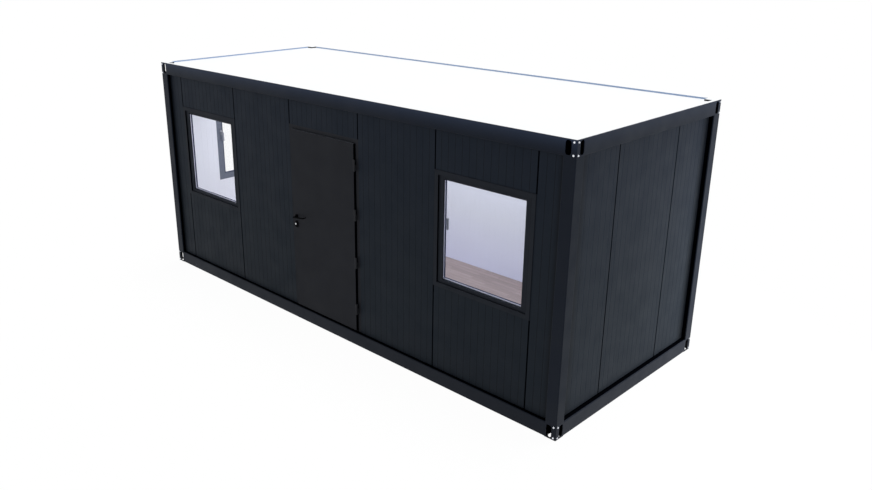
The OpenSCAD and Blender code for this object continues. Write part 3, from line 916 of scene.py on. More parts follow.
@dataclass(frozen=True)
class FastenerField:
    """Puts one fastener shape on many seats with Geometry Nodes."""

    name: str
    finish: Finish
    outline: tuple[tuple[float, float], ...]
    steps: int = 20
    hex_across: float = 0.0
    hex_low: float = 0.0
    hex_high: float = 0.0
    hex_bevel: float = 0.12
    seed: int = 7

    def shape(self) -> bpy.types.Object:
        """Build the single fastener, head up, seat on z = 0.

        Returns:
            The fastener, not yet in the scene.
        """
        form = bmesh.new()
        Shapes.lathe(form, self.outline, self.steps)
        if self.hex_across > 0.0:
            corner = self.hex_across / math.sqrt(3.0)
            bevel = self.hex_bevel * corner
            outline = ((0.0, self.hex_low), (corner, self.hex_low), (corner, self.hex_high - bevel),
                       (corner - bevel, self.hex_high), (0.0, self.hex_high))
            Shapes.lathe(form, outline, steps=6)
        bmesh.ops.recalc_face_normals(form, faces=form.faces[:])
        mesh = bpy.data.meshes.new(self.name + "_shape")
        form.to_mesh(mesh)
        form.free()
        return bpy.data.objects.new(self.name + "_shape", mesh)

    def tree(self) -> tuple[bpy.types.NodeTree, dict[str, str]]:
        """Build the node tree.

        Returns:
            The tree, and the identifier of each named input.
        """
        tree = bpy.data.node_groups.new(self.name + "_field", "GeometryNodeTree")
        face = tree.interface
        face.new_socket("Geometry", in_out="INPUT", socket_type="NodeSocketGeometry")
        names = {}
        for label, kind in (("Fastener", "NodeSocketObject"), ("Size", "NodeSocketFloat"),
                            ("Most Turn", "NodeSocketFloat"), ("Seed", "NodeSocketInt"),
                            ("Finish", "NodeSocketMaterial")):
            names[label] = face.new_socket(label, in_out="INPUT", socket_type=kind).identifier
        face.new_socket("Geometry", in_out="OUTPUT", socket_type="NodeSocketGeometry")
        new = tree.nodes.new
        link = tree.links.new
        start, end = new("NodeGroupInput"), new("NodeGroupOutput")
        single = new("GeometryNodeObjectInfo")
        link(start.outputs["Fastener"], single.inputs["Object"])
        facing = new("GeometryNodeInputNamedAttribute")
        facing.data_type = "FLOAT_VECTOR"
        facing.inputs["Name"].default_value = "facing"
        aim = new("FunctionNodeAlignRotationToVector")
        aim.axis = "Z"
        link(facing.outputs["Attribute"], aim.inputs["Vector"])
        chance = new("FunctionNodeRandomValue")
        chance.data_type = "FLOAT"
        by_id = {socket.identifier: socket for socket in chance.inputs}
        link(start.outputs["Most Turn"], by_id["Max_001"])
        link(start.outputs["Seed"], by_id["Seed"])
        spin = new("FunctionNodeAxisAngleToRotation")
        spin.inputs["Axis"].default_value = (0.0, 0.0, 1.0)
        link(next(out for out in chance.outputs if out.identifier == "Value_001"), spin.inputs["Angle"])
        turn = new("FunctionNodeRotateRotation")
        turn.rotation_space = "LOCAL"
        link(aim.outputs["Rotation"], turn.inputs["Rotation"])
        link(spin.outputs["Rotation"], turn.inputs["Rotate By"])
        spread = new("GeometryNodeInstanceOnPoints")
        link(start.outputs["Geometry"], spread.inputs["Points"])
        link(single.outputs["Geometry"], spread.inputs["Instance"])
        link(turn.outputs["Rotation"], spread.inputs["Rotation"])
        link(start.outputs["Size"], spread.inputs["Scale"])
        solid = new("GeometryNodeRealizeInstances")
        link(spread.outputs["Instances"], solid.inputs["Geometry"])
        coat = new("GeometryNodeSetMaterial")
        link(solid.outputs["Geometry"], coat.inputs["Geometry"])
        link(start.outputs["Finish"], coat.inputs["Material"])
        link(coat.outputs["Geometry"], end.inputs["Geometry"])
        return tree, names

    def build(self, piece_name: str, spots: Iterable[Spot], body: str, slot: str) -> bpy.types.Object:
        """Make one piece of all the fasteners on one body.

        Args:
            piece_name: name of the piece.
            spots: seats of the fasteners.
            body: CAD body that carries them.
            slot: not used.

        Returns:
            The piece, as a plain mesh.
        """
        spots = list(spots)
        carrier_mesh = bpy.data.meshes.new(piece_name + "_seats")
        carrier_mesh.from_pydata([spot.seat for spot in spots], [], [])
        facing = carrier_mesh.attributes.new("facing", "FLOAT_VECTOR", "POINT")
        facing.data.foreach_set("vector", [part for spot in spots for part in spot.facing])
        carrier = bpy.data.objects.new(piece_name + "_seats", carrier_mesh)
        bpy.context.scene.collection.objects.link(carrier)
        single = self.shape()
        tree, names = self.tree()
        modifier = carrier.modifiers.new("fasteners", "NODES")
        modifier.node_group = tree
        modifier[names["Fastener"]] = single
        modifier[names["Size"]] = 1.0
        modifier[names["Most Turn"]] = math.tau
        modifier[names["Seed"]] = self.seed
        modifier[names["Finish"]] = material_of(self.finish)
        seen = carrier.evaluated_get(bpy.context.evaluated_depsgraph_get())
        mesh = bpy.data.meshes.new_from_object(seen)
        carrier.modifiers.remove(modifier)
        bpy.data.objects.remove(carrier)
        bpy.data.objects.remove(single)
        piece = bpy.data.objects.new(piece_name, mesh)
        bpy.context.scene.collection.objects.link(piece)
        return dressed(piece, self.finish, body)


CASTING_BOLTS = FastenerField(
    "casting_bolt", BOLT_ZINC, steps=24, hex_across=0.0120, hex_low=0.0015, hex_high=0.0066,
    outline=((0.0, 0.0), (0.0086, 0.0), (0.0086, 0.0012), (0.0082, 0.0018), (0.0, 0.0018)))
HINGE_CAPS = FastenerField(
    "hinge_cap", HINGE_STEEL, steps=28,
    outline=((0.0, 0.0), (0.0108, 0.0), (0.0108, 0.0012), (0.0098, 0.0028), (0.0070, 0.0038),
             (0.0, 0.0042)))


@dataclass
class SteelFrame:
    """Rails, posts and castings, with the bolts and black sheets of painted shade in the castings' hollows.
    """

    bolt_inset: float = 0.0245
    bolt_levels: tuple[float, ...] = (0.0200, 0.1225, 2.4745, 2.5770)
    casting_t: float = 0.006
    hollow_shade_t: float = 0.001
    base_hollow: tuple[float, float] = (0.006, 0.134)
    roof_hollow: tuple[float, float] = (2.466, 2.592)

    def nodes(self) -> list[str]:
        """Name the solids of this sub-assembly.

        Returns:
            Names of the rails, posts and castings.
        """
        sides = ("front", "back", "left", "right")
        rails = [f"{level}_{side}_rail" for level in ("base", "roof") for side in sides]
        posts = [f"{side}_{end}_post" for side in ("front", "back") for end in ("left", "right")]
        return rails + posts + ["base_corner_castings", "roof_corner_castings"]

    def bolt_spots(self) -> list[Spot]:
        """Give two bolt seats on each outer face of each casting.

        Returns:
            The seats of all the bolts.
        """
        spots = []
        for level in self.bolt_levels:
            for side_x in (-1.0, 1.0):
                for side_y in (-1.0, 1.0):
                    long_seat = Vector((side_x * (HALF_L - self.bolt_inset), side_y * HALF_W, level))
                    end_seat = Vector((side_x * HALF_L, side_y * (HALF_W - self.bolt_inset), level))
                    spots.append(Spot(long_seat, Vector((0.0, side_y, 0.0))))
                    spots.append(Spot(end_seat, Vector((side_x, 0.0, 0.0))))
        return spots

    def hollow_shades(self) -> None:
        """Put black sheets of painted shade on the inner walls and the ceiling of each casting's hollow,
        and on the top castings' floor.
        """
        form = bmesh.new()
        near, far, thin = self.casting_t, POST_W - self.casting_t, self.hollow_shade_t
        for low, high in (self.base_hollow, self.roof_hollow):
            for side_x in (-1.0, 1.0):
                for side_y in (-1.0, 1.0):
                    place = Matrix.Translation((side_x * HALF_L, side_y * HALF_W, 0.0))
                    place = place @ Matrix.Diagonal((-side_x, -side_y, 1.0, 1.0))
                    Shapes.block(form, (far - thin, near, low), (far, far, high), place)
                    Shapes.block(form, (near, far - thin, low), (far - thin, far, high), place)
                    Shapes.block(form, (near, near, high - thin), (far - thin, far - thin, high), place)
                    if (low, high) == self.roof_hollow:
                        Shapes.block(form, (near, near, low), (far - thin, far - thin, low + thin), place)
        finished("casting_liners", form, SEAL_RUBBER, "cabin")

    def build(self) -> None:
        """Make the bolts and the painted shade in the castings' hollows."""
        CASTING_BOLTS.build("casting_bolts", self.bolt_spots(), "cabin", "frame")
        self.hollow_shades()


@dataclass
class WallPanels:
    """Ribbed panels, with black sheets of painted shade round their recess, and the black seals of their
    seams.
    """

    names: tuple[str, ...] = (
        "front_corner_panels", "front_plain_panels", "front_window_upper_panels",
        "front_window_lower_panels", "over_door_panel", "back_panels", "left_side_panels",
        "left_window_upper_panel", "left_window_lower_panel", "right_panels")
    foot_z: float = 0.140
    head_z: float = 2.460
    sill_z: float = 0.990
    lintel_z: float = 2.095
    door_head_z: float = 2.195
    end_lip_y: float = 0.010
    long_lip_y: float = 0.012
    # Painted shade: thickness of the black sheets, and width of the black band on the long walls and the
    # ends
    recess_shade_t: float = 0.002
    long_edge_shade_w: float = 0.0022
    end_edge_shade_w: float = 0.015
    seam_w: float = 0.0136
    seam_y: tuple[float, float] = (0.0415, 0.0478)
    door_seam: float = 0.530
    window_seams: tuple[float, float] = (1.542, 2.636)
    left_seam: float = 0.547
    right_seam: float = 0.500
    strip_edge: float = 0.5469
    strip_sink: float = 0.0002

    def seams(self) -> list[tuple[Wall, float, float, float]]:
        """List the seams between the panels.

        Returns:
            Wall, place along it, foot and head of each seam.
        """
        full = (self.foot_z, self.head_z)
        split = ((self.foot_z, self.sill_z), (self.lintel_z, self.head_z))
        found = []
        for side in (-1.0, 1.0):
            found.append((Wall.FRONT, side * self.door_seam, self.door_head_z, self.head_z))
            found.append((Wall.RIGHT_END, side * self.right_seam, *full))
            found += [(Wall.FRONT, side * along, *part) for along in self.window_seams for part in split]
            found += [(Wall.LEFT_END, side * self.left_seam, *part) for part in split]
            found += [(Wall.BACK, side * along, *full) for along in (self.door_seam, *self.window_seams)]
        return found

    def recess_lining(self) -> None:
        """Put black sheets of painted shade on the ledge and the lips round the four walls, with a black
        band of painted shade on the panels' edge beside them.
        """
        form = bmesh.new()
        height = self.head_z - self.foot_z
        for wall in Wall:
            place = wall.matrix(0.0, self.foot_z + height / 2.0)
            outer = (wall.recess_width(), height)
            edge_shade_w = self.long_edge_shade_w if wall.is_long else self.end_edge_shade_w
            lip = self.long_lip_y if wall.is_long else self.end_lip_y
            for width, near in ((self.recess_shade_t, lip), (edge_shade_w, PANEL_FACE - self.recess_shade_t)):
                inner = (outer[0] - 2.0 * width, outer[1] - 2.0 * width)
                Shapes.ring(form, outer, inner, near, PANEL_FACE, place)
        finished("recess_lining", form, SEAL_RUBBER, "cabin")

    def seam_seals(self) -> None:
        """Fill the seams between the panels to just under their faces."""
        form = bmesh.new()
        for wall, along, low, high in self.seams():
            Shapes.block(form, (-self.seam_w / 2.0, self.seam_y[0], low),
                         (self.seam_w / 2.0, self.seam_y[1], high), wall.matrix(along, 0.0))
        finished("panel_seam_seals", form, SEAL_RUBBER, "cabin")

    def cover_strips(self) -> None:
        """Close the half seams beside the window frames, flush with the panels."""
        form = bmesh.new()
        outer = self.strip_edge + self.seam_w / 2.0
        for wall, middle in WINDOW_CENTRES:
            for side in (-1.0, 1.0):
                near, far = sorted((middle + side * self.strip_edge, middle + side * outer))
                Shapes.block(form, (near, PANEL_FACE + self.strip_sink, self.sill_z),
                             (far, self.seam_y[1], self.lintel_z), wall.matrix(0.0, 0.0))
        finished("frame_cover_strips", form, PANEL_COAT, "cabin")

    def build(self) -> None:
        """Make the linings, seals and cover strips of the four walls."""
        self.recess_lining()
        self.seam_seals()
        self.cover_strips()


@dataclass
class Windows:
    """Three windows: panes, spacers, seals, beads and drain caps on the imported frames."""

    middle_z: float = 1.5425
    frame_in: tuple[float, float] = (1.0094, 1.0210)
    glass: tuple[float, float] = (0.9164, 0.9460)
    flange_y: float = 0.034
    sash_y: float = 0.050
    glass_y: float = 0.066
    glass_t: float = 0.024
    pane_t: float = 0.004
    pane_soft: float = 0.0004
    spacer_w: float = 0.0075
    spacer_t: float = 0.0065
    seal_w: float = 0.0045
    seal_t: float = 0.003
    seal_soft: float = 0.0008
    bead_t: float = 0.006
    bead_over: float = 0.016
    bead_soft: float = 0.0004
    stile_bead: tuple[tuple[float, float], ...] = (
        (0.4690, 0.0494), (0.4475, 0.0494), (0.4475, 0.0512), (0.4575, 0.0600), (0.4640, 0.0560))
    step_seal_t: float = 0.0014
    step_seal_d: float = 0.004
    flange_gap: float = 0.0008
    drain_x: float = 0.36
    drain_half: float = 0.016
    drain_out: float = 0.0022
    drain_z: tuple[float, float] = (-0.5365, -0.5275)
    drain_soft: float = 0.0009

    def places(self) -> list[Matrix]:
        """Give the matrix of each window's centre."""
        return [wall.matrix(along, self.middle_z) for wall, along in WINDOW_CENTRES]

    def panes(self) -> None:
        """Make the two panes of each window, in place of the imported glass."""
        form = bmesh.new()
        half_w, half_h = (part / 2.0 for part in self.glass)
        for place in self.places():
            for near in (self.glass_y, self.glass_y + self.glass_t - self.pane_t):
                Shapes.block(form, (-half_w, near, -half_h), (half_w, near + self.pane_t, half_h), place)
        Shapes.soften(form, self.pane_soft, 1)
        panes = finished("window_panes", form, PANE_GLASS, "cabin")
        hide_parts("window_glass")

    def edge_ring(self, name: str, finish: Finish, near: float, far: float) -> None:
        """Make the same ring round the panes' edge in all three windows.

        Args:
            name: piece name.
            finish: finish that it wears.
            near: depth of its outer face.
            far: depth of its inner face.
        """
        form = bmesh.new()
        inner = (self.glass[0] - 2.0 * self.spacer_w, self.glass[1] - 2.0 * self.spacer_w)
        for place in self.places():
            Shapes.ring(form, self.glass, inner, near, far, place)
        Shapes.soften(form, self.seal_soft)
        finished(name, form, finish, "cabin")

    def outer_seals(self) -> None:
        """Make the black seals on the panes' outer faces, at the sides and the top."""
        form = bmesh.new()
        half_w, half_h = (part / 2.0 for part in self.glass)
        near, far = self.glass_y - self.seal_t, self.glass_y
        for place in self.places():
            for side in (-1.0, 1.0):
                low, high = sorted((side * half_w, side * (half_w - self.seal_w)))
                Shapes.block(form, (low, near, -half_h), (high, far, half_h), place)
            Shapes.block(form, (self.seal_w - half_w, near, half_h - self.seal_w),
                         (half_w - self.seal_w, far, half_h), place)
        Shapes.soften(form, self.seal_soft)
        finished("outer_pane_seals", form, SEAL_RUBBER, "cabin")

    def stile_beads(self) -> None:
        """Make the beads that clip on the sash's two stiles and lip over the pane."""
        form = bmesh.new()
        length = self.glass[1] + self.bead_over
        upright = Matrix.Rotation(math.radians(-90.0), 4, "Y")
        for place in self.places():
            for side in (-1.0, 1.0):
                outline = [(inward, side * along) for along, inward in self.stile_bead]
                Shapes.extruded(form, outline, length, place @ upright)
        Shapes.soften(form, self.bead_soft, 1)
        finished("stile_glazing_beads", form, SASH_PLASTIC, "cabin")

    def step_seals_and_shade(self) -> None:
        """Make the black seals between frame and sash: at the sides they fill the whole reveal, a seal and
        painted shade; a thin line above and below.
        """
        form = bmesh.new()
        half_w, half_h = (part / 2.0 for part in self.frame_in)
        thin, back = self.step_seal_t, self.sash_y
        for place in self.places():
            for side in (-1.0, 1.0):
                near, far = sorted((side * half_w, side * (half_w - thin)))
                Shapes.block(form, (near, self.flange_y + self.flange_gap, -half_h),
                             (far, back, half_h), place)
                low, high = sorted((side * half_h, side * (half_h - thin)))
                Shapes.block(form, (thin - half_w, back - self.step_seal_d, low),
                             (half_w - thin, back, high), place)
        finished("sash_step_seals", form, SEAL_RUBBER, "cabin")

    def drain_caps(self) -> None:
        """Make the two caps over the drain slots under each window."""
        form = bmesh.new()
        for place in self.places():
            for along in (-self.drain_x, self.drain_x):
                low = (along - self.drain_half, self.flange_y - self.drain_out, self.drain_z[0])
                high = (along + self.drain_half, self.flange_y, self.drain_z[1])
                Shapes.block(form, low, high, place)
        Shapes.soften(form, self.drain_soft)
        finished("drain_caps", form, SASH_PLASTIC, "cabin")

    def build(self) -> None:
        """Make the panes and everything round them."""
        self.panes()
        near, back = self.glass_y + self.pane_t, self.glass_y + self.glass_t
        middle = near + self.spacer_t
        self.edge_ring("pane_spacers", SPACER_PALE, near, middle)
        self.edge_ring("pane_edge_bond", BEAD_GREY, middle, back - self.pane_t)
        self.outer_seals()
        self.stile_beads()
        self.edge_ring("inner_pane_seals", BEAD_GREY, back, back + self.bead_t)
        self.step_seals_and_shade()
        self.drain_caps()


@dataclass
class Door:
    """Door leaf with black sheets of painted shade in its hinge-side gap, its seals, a strip of painted
    light on its top edge, hinge caps and lock faces.
    """

    leaf: tuple[float, float] = (0.9694, 1.9930)
    leaf_low_z: float = 0.157
    leaf_y: float = 0.020
    leaf_t: float = 0.040
    stop_y: float = 0.065
    clear_w: float = 0.9474
    clear_top_z: float = 2.139
    floor_z: float = 0.152
    opening_w: float = 0.9794
    hinge_x: float = 0.5007
    hinge_y: float = 0.015
    hinge_low: float = 0.248
    hinge_high: float = 0.213
    hinge_n: int = 4
    hinge_h: float = 0.110
    lever: tuple[float, float] = (-0.4447, 1.198)
    lock_drop: float = 0.082
    plate_t: float = 0.008
    knob_out: float = 0.010
    jamb_x: tuple[float, float] = (0.5299, 0.5367)
    jamb_y: tuple[float, float] = (0.0402, 0.0478)
    jamb_z: tuple[float, float] = (0.140, 2.195)
    head_y: tuple[float, float] = (0.0405, 0.0580)
    head_gap: tuple[float, float] = (0.0015, 0.0050)
    leaf_shade_t: float = 0.0005
    leaf_shade_sink: float = 0.0004
    jamb_shade_y: tuple[float, float] = (0.0388, 0.0400)
    jamb_shade_w: float = 0.009
    jamb_shade_drop: float = 0.015
    stop_seal_w: float = 0.010
    stop_seal_share: float = 0.8
    stop_seal_soft: float = 0.0012
    lit_edge_t: float = 0.0010
    lit_edge_sink: float = 0.0002
    collar: tuple[tuple[float, float], ...] = (
        (0.0095, 0.0), (0.0175, 0.0), (0.0172, 0.0030), (0.0150, 0.0046), (0.0095, 0.0050), (0.0095, 0.0))
    key_face: tuple[tuple[float, float], ...] = (
        (0.0, 0.0), (0.0098, 0.0), (0.0096, 0.0012), (0.0086, 0.0018), (0.0080, 0.0011), (0.0, 0.0012))
    keyway: tuple[tuple[float, float, float], ...] = ((-0.0008, -0.0042, 0.0008), (0.0008, 0.0042, 0.00135))
    round_steps: int = 40

    def place(self) -> Matrix:
        """Give the front wall's matrix."""
        return Wall.FRONT.matrix(0.0, 0.0)

    def hinge_levels(self) -> list[float]:
        """Work out the height of each hinge's middle."""
        pitch = (self.leaf[1] - self.hinge_low - self.hinge_high) / (self.hinge_n - 1)
        return [self.leaf_low_z + self.hinge_low + index * pitch for index in range(self.hinge_n)]

    def hinge_gap_shades(self) -> None:
        """Make black sheets of painted shade in the hinge-side gap: one on the leaf's hinge edge, one on
        the jamb beside it.
        """
        leaf_shade, lip = bmesh.new(), bmesh.new()
        low_z, high_z = self.leaf_low_z, self.leaf_low_z + self.leaf[1]
        edge, jamb = self.leaf[0] / 2.0, self.opening_w / 2.0
        back = self.leaf_y + self.leaf_t
        Shapes.block(leaf_shade, (edge, self.leaf_y + self.leaf_shade_sink, low_z), (edge + self.leaf_shade_t, back, high_z),
                     self.place())
        Shapes.block(lip, (jamb, self.jamb_shade_y[0], low_z - self.jamb_shade_drop),
                     (jamb + self.jamb_shade_w, self.jamb_shade_y[1], high_z), self.place())
        finished("leaf_edge_tape", leaf_shade, SEAL_RUBBER, "door")
        finished("jamb_lip_seal", lip, SEAL_RUBBER, "cabin")

    def stop_seal(self) -> None:
        """Make the seal on the frame's stop, on both sides and over the leaf."""
        form = bmesh.new()
        depth = self.stop_y - self.leaf_y - self.leaf_t
        near = self.stop_y - self.stop_seal_share * depth
        side = self.clear_w / 2.0
        outer = side + self.stop_seal_w
        for sign in (-1.0, 1.0):
            low_x, high_x = sorted((sign * side, sign * outer))
            Shapes.block(form, (low_x, near, self.floor_z), (high_x, self.stop_y, self.clear_top_z),
                         self.place())
        Shapes.block(form, (-outer, near, self.clear_top_z),
                     (outer, self.stop_y, self.clear_top_z + self.stop_seal_w), self.place())
        Shapes.soften(form, self.stop_seal_soft)
        finished("door_stop_seal", form, SEAL_RUBBER, "cabin")

    def cover_strips(self) -> None:
        """Make the painted strips over and beside the frame, and a pale grey strip of painted light on the
        leaf's top edge.
        """
        form = bmesh.new()
        side, top = self.leaf[0] / 2.0, self.leaf_low_z + self.leaf[1]
        Shapes.block(form, (-side, self.head_y[0], top + self.head_gap[0]),
                     (side, self.head_y[1], top + self.head_gap[1]), self.place())
        for sign in (-1.0, 1.0):
            near, far = sorted((sign * self.jamb_x[0], sign * self.jamb_x[1]))
            Shapes.block(form, (near, self.jamb_y[0], self.jamb_z[0]),
                         (far, self.jamb_y[1], self.jamb_z[1]), self.place())
        finished("door_cover_strips", form, JAMB_COAT, "cabin")
        lit_edge = bmesh.new()
        Shapes.block(lit_edge, (-side, self.leaf_y + self.lit_edge_sink, top),
                     (side, self.leaf_y + self.leaf_t - self.lit_edge_sink, top + self.lit_edge_t), self.place())
        finished("leaf_top_cap", lit_edge, LIT_EDGE_GREY, "door")

    def hinge_caps(self) -> None:
        """Cap the hinge barrels: the upper ends on the leaf, the lower ends on the frame."""
        for name, side, body in (("leaf_hinge_caps", 1.0, "door"), ("frame_hinge_caps", -1.0, "cabin")):
            spots = [Spot(Vector((self.hinge_x, self.hinge_y - HALF_W, level + side * self.hinge_h / 2.0)),
                          Vector((0.0, 0.0, side))) for level in self.hinge_levels()]
            HINGE_CAPS.build(name, spots, body, "hinge")

    def lock_faces(self) -> None:
        """Make the lever's collars and the ringed key faces of the lock."""
        collars, faces, slots = bmesh.new(), bmesh.new(), bmesh.new()
        x, z = self.lever
        back = self.leaf_y + self.leaf_t
        for sign, plate in ((1.0, self.leaf_y - self.plate_t), (-1.0, back + self.plate_t)):
            turn = Matrix.Rotation(math.radians(90.0 * sign), 4, "X")
            hub = Matrix.Translation((x, plate - HALF_W, z)) @ turn
            Shapes.lathe(collars, self.collar, self.round_steps, hub)
            key_y = plate - HALF_W - sign * self.knob_out
            key = Matrix.Translation((x, key_y, z - self.lock_drop)) @ turn
            Shapes.lathe(faces, self.key_face, self.round_steps, key)
            Shapes.block(slots, *self.keyway, key)
        finished("lever_collars", collars, LEVER_BLACK, "door")
        finished("lock_faces", faces, LOCK_NICKEL, "door")
        finished("lock_keyways", slots, SEAL_RUBBER, "door")

    def build(self) -> None:
        """Make all the added pieces of the door."""
        self.hinge_gap_shades()
        self.stop_seal()
        self.cover_strips()
        self.hinge_caps()
        self.lock_faces()


@dataclass
class SolidsDress:
    """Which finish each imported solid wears."""

    frame: SteelFrame
    walls: WallPanels

    def table(self) -> dict[str, Finish]:
        """Give every solid's finish.

        Returns:
            The finish for each solid's name.
        """
        coats: dict[str, Finish] = {name: FRAME_COAT for name in self.frame.nodes()}
        coats.update({"front_left_post": POST_COAT, "front_right_post": POST_COAT})
        coats.update({"base_corner_castings": CASTING_COAT, "roof_corner_castings": CASTING_COAT})
        coats.update({name: PANEL_COAT for name in self.walls.names})
        for place in ("front_left", "front_right", "left_end"):
            coats[f"{place}_window_frame"] = SASH_PLASTIC
            coats[f"{place}_window_sash"] = SASH_PLASTIC
        coats.update({
            "window_glass": PANE_GLASS, "window_handles": HANDLE_GREY, "roof_sheet": ROOF_COAT,
            "roof_trim": TRIM_COAT, "ceiling_board": CEILING_BOARD, "floor_deck": DECK_BOARD,
            "floor_covering": FLOOR_PLANKS, "floor_joists": JOIST_ZINC, "door_frame": JAMB_COAT,
            "door_leaf": DOOR_COAT, "hinge_frame_halves": HINGE_STEEL, "hinge_leaf_halves": HINGE_STEEL,
            "door_lever": LEVER_BLACK, "handle_plates": LEVER_BLACK, "lock_cylinder": LOCK_BLACK})
        return coats

    def apply(self, nodes: dict[str, bpy.types.Object]) -> None:
        """Dress the solids.

        Args:
            nodes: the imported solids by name.
        """
        coats = self.table()
        for name, node in nodes.items():
            node.data.materials.clear()
            node.data.materials.append(material_of(coats[name]))
            LOG.info("%s wears %s", name, coats[name].name)


class LampKind(Enum):
    """The two kinds of lamp in the studio, by Blender's names."""

    SUN = "SUN"
    AREA = "AREA"


@dataclass(frozen=True)
class Lamp:
    """One lamp; a sun's energy is its strength, and the first part of its size its angle in degrees."""

    name: str
    kind: LampKind
    energy: float
    at: tuple[float, float, float]
    aim: tuple[float, float, float]
    size: tuple[float, float]
    tint: Colour = (1.0, 1.0, 1.0)
    in_gloss: bool = False

    def hang(self) -> None:
        """Hang the lamp, hidden from the camera."""
        data = bpy.data.lights.new(self.name, self.kind.value)
        data.energy = self.energy
        data.color = self.tint
        if self.kind is LampKind.SUN:
            data.angle = math.radians(self.size[0])
        else:
            data.shape = "RECTANGLE"
            data.size, data.size_y = self.size
        lamp = bpy.data.objects.new(self.name, data)
        lamp.location = self.at
        lamp.rotation_euler = (Vector(self.aim) - Vector(self.at)).to_track_quat("-Z", "Y").to_euler()
        lamp.visible_camera = False
        lamp.visible_glossy = self.in_gloss
        bpy.context.scene.collection.objects.link(lamp)


LAMPS = (
    Lamp("roof_sun", LampKind.SUN, 2.8, (0.7, 3.0, 12.0), (0.0, 0.0, 0.0), (24.0, 0.0), in_gloss=True),
    Lamp("end_key", LampKind.AREA, 75.0, (3.9, 2.6, 1.0), (3.0, 1.0, 0.8), (1.2, 2.0)),
    Lamp("room_glow", LampKind.AREA, 66.0, (0.3, 0.0, 2.44), (0.3, 0.0, 0.0), (4.8, 1.8),
         (0.86, 0.90, 0.97)),
    Lamp("left_glow", LampKind.AREA, 11.5, (-1.3, 0.0, 1.5), (-3.0, 0.0, 1.4), (1.6, 1.6),
         (1.0, 0.98, 0.98)))


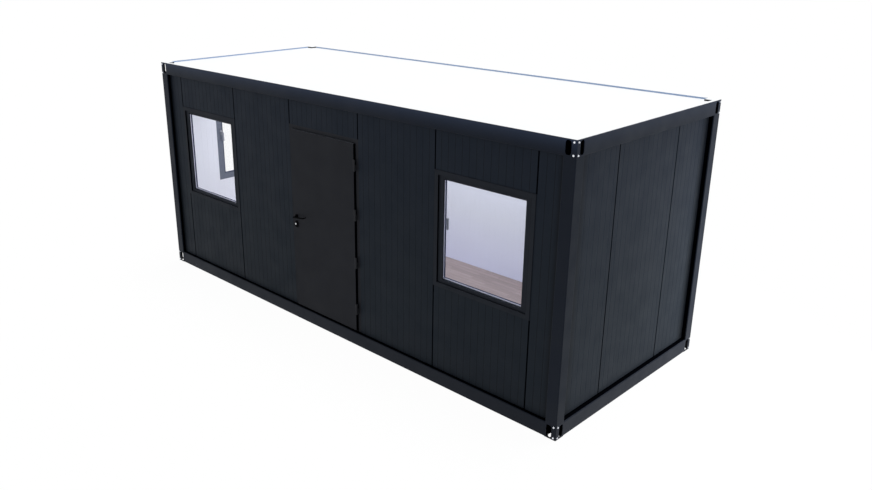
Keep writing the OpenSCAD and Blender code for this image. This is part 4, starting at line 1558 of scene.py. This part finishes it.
@dataclass
class Studio:
    """Camera, lamps, world and the pale floor."""

    camera_at: tuple[float, float, float] = (6.2814, -6.3556, 3.9731)
    azimuth: float = 0.785737
    elevation: float = 0.339659
    lens: float = 33.9133
    sensor_w: float = 36.0
    shift: tuple[float, float] = (0.043243, -0.013139)
    view_end: float = 200.0
    ambient: float = 0.26
    ambient_tint: Colour = (0.90, 0.95, 1.0)
    sheen: Colour = (0.92, 0.95, 1.00)
    floor_half: float = 60.0
    floor_drop: float = 0.0005
    floor_tone: float = 0.42
    floor_rough: float = 0.9
    floor_glow: float = 1.03
    floor_share: float = 0.95

    def seen_share(self, tree: bpy.types.NodeTree) -> Socket:
        """Tell rays that show the background from rays that light the object.

        Args:
            tree: node tree of the world or the floor.

        Returns:
            1 for camera, glossy and transmission rays, 0 for the rest.
        """
        path = tree.nodes.new("ShaderNodeLightPath")
        first = tree.nodes.new("ShaderNodeMath")
        first.operation = "MAXIMUM"
        second = tree.nodes.new("ShaderNodeMath")
        second.operation = "MAXIMUM"
        tree.links.new(path.outputs["Is Camera Ray"], first.inputs[0])
        tree.links.new(path.outputs["Is Glossy Ray"], first.inputs[1])
        tree.links.new(first.outputs["Value"], second.inputs[0])
        tree.links.new(path.outputs["Is Transmission Ray"], second.inputs[1])
        return second.outputs["Value"]

    def seen_colour(self, tree: bpy.types.NodeTree, target: Socket) -> None:
        """Show white to the camera and a slightly cool white to glossy rays.

        Args:
            tree: node tree of the world or the floor.
            target: colour socket to feed.
        """
        path = tree.nodes.new("ShaderNodeLightPath")
        mixer = tree.nodes.new("ShaderNodeMix")
        mixer.data_type = "RGBA"
        by_id = {socket.identifier: socket for socket in mixer.inputs}
        by_id["A_Color"].default_value = (1.0, 1.0, 1.0, 1.0)
        by_id["B_Color"].default_value = (*self.sheen, 1.0)
        tree.links.new(path.outputs["Is Glossy Ray"], by_id["Factor_Float"])
        result = next(socket for socket in mixer.outputs if socket.identifier == "Result_Color")
        tree.links.new(result, target)

    def world(self) -> None:
        """Make the even surround: white where seen, softer as a light."""
        world = bpy.data.worlds.new("studio_surround")
        bpy.context.scene.world = world
        world.use_nodes = True
        tree = world.node_tree
        tree.nodes.clear()
        output = tree.nodes.new("ShaderNodeOutputWorld")
        mixer = tree.nodes.new("ShaderNodeMixShader")
        lit = tree.nodes.new("ShaderNodeBackground")
        lit.inputs["Color"].default_value = (*self.ambient_tint, 1.0)
        lit.inputs["Strength"].default_value = self.ambient
        seen = tree.nodes.new("ShaderNodeBackground")
        self.seen_colour(tree, seen.inputs["Color"])
        seen.inputs["Strength"].default_value = 1.0
        tree.links.new(self.seen_share(tree), mixer.inputs["Fac"])
        tree.links.new(lit.outputs["Background"], mixer.inputs[1])
        tree.links.new(seen.outputs["Background"], mixer.inputs[2])
        tree.links.new(mixer.outputs["Shader"], output.inputs["Surface"])

    def floor(self) -> None:
        """Make the pale floor, which keeps a faint shadow of the cabin."""
        form = bmesh.new()
        bmesh.ops.create_grid(form, x_segments=1, y_segments=1, size=self.floor_half)
        mesh = bpy.data.meshes.new("studio_floor")
        form.to_mesh(mesh)
        form.free()
        floor = bpy.data.objects.new("studio_floor", mesh)
        floor.location.z = -self.floor_drop
        bpy.context.scene.collection.objects.link(floor)
        material = bpy.data.materials.new("studio_floor")
        material.use_nodes = True
        tree = material.node_tree
        shader = tree.nodes["Principled BSDF"]
        shader.inputs["Base Color"].default_value = (*(self.floor_tone,) * 3, 1.0)
        shader.inputs["Roughness"].default_value = self.floor_rough
        shader.inputs["Specular IOR Level"].default_value = 0.0
        glow = tree.nodes.new("ShaderNodeEmission")
        self.seen_colour(tree, glow.inputs["Color"])
        glow.inputs["Strength"].default_value = self.floor_glow
        mixer = tree.nodes.new("ShaderNodeMixShader")
        share = tree.nodes.new("ShaderNodeMath")
        share.operation = "MULTIPLY"
        share.inputs[1].default_value = self.floor_share
        tree.links.new(self.seen_share(tree), share.inputs[0])
        tree.links.new(share.outputs["Value"], mixer.inputs["Fac"])
        tree.links.new(shader.outputs["BSDF"], mixer.inputs[1])
        tree.links.new(glow.outputs["Emission"], mixer.inputs[2])
        tree.links.new(mixer.outputs["Shader"], tree.nodes["Material Output"].inputs["Surface"])
        mesh.materials.append(material)

    def camera(self) -> None:
        """Set up the camera at the photograph's station."""
        data = bpy.data.cameras.new("photo_station")
        data.sensor_fit = "HORIZONTAL"
        data.sensor_width = self.sensor_w
        data.lens = self.lens
        data.shift_x, data.shift_y = self.shift
        data.clip_end = self.view_end
        camera = bpy.data.objects.new("photo_station", data)
        camera.location = self.camera_at
        camera.rotation_euler = (math.pi / 2.0 - self.elevation, 0.0, self.azimuth)
        bpy.context.scene.collection.objects.link(camera)
        bpy.context.scene.camera = camera

    def build(self) -> None:
        """Set up everything that isn't part of the object."""
        bpy.context.scene.view_settings.view_transform = "Standard"
        self.camera()
        self.world()
        self.floor()
        for lamp in LAMPS:
            lamp.hang()


def main() -> None:
    """Load the frame, dress it, add the fine pieces and set up the studio."""
    logging.basicConfig(level=logging.INFO, format="%(name)s: %(message)s")
    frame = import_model()
    steel, walls = SteelFrame(), WallPanels()
    SolidsDress(steel, walls).apply(frame["nodes"])
    for assembly in (steel, walls, Windows(), Door()):
        assembly.build()
    Studio().build()


if __name__ == "__main__":
    main()
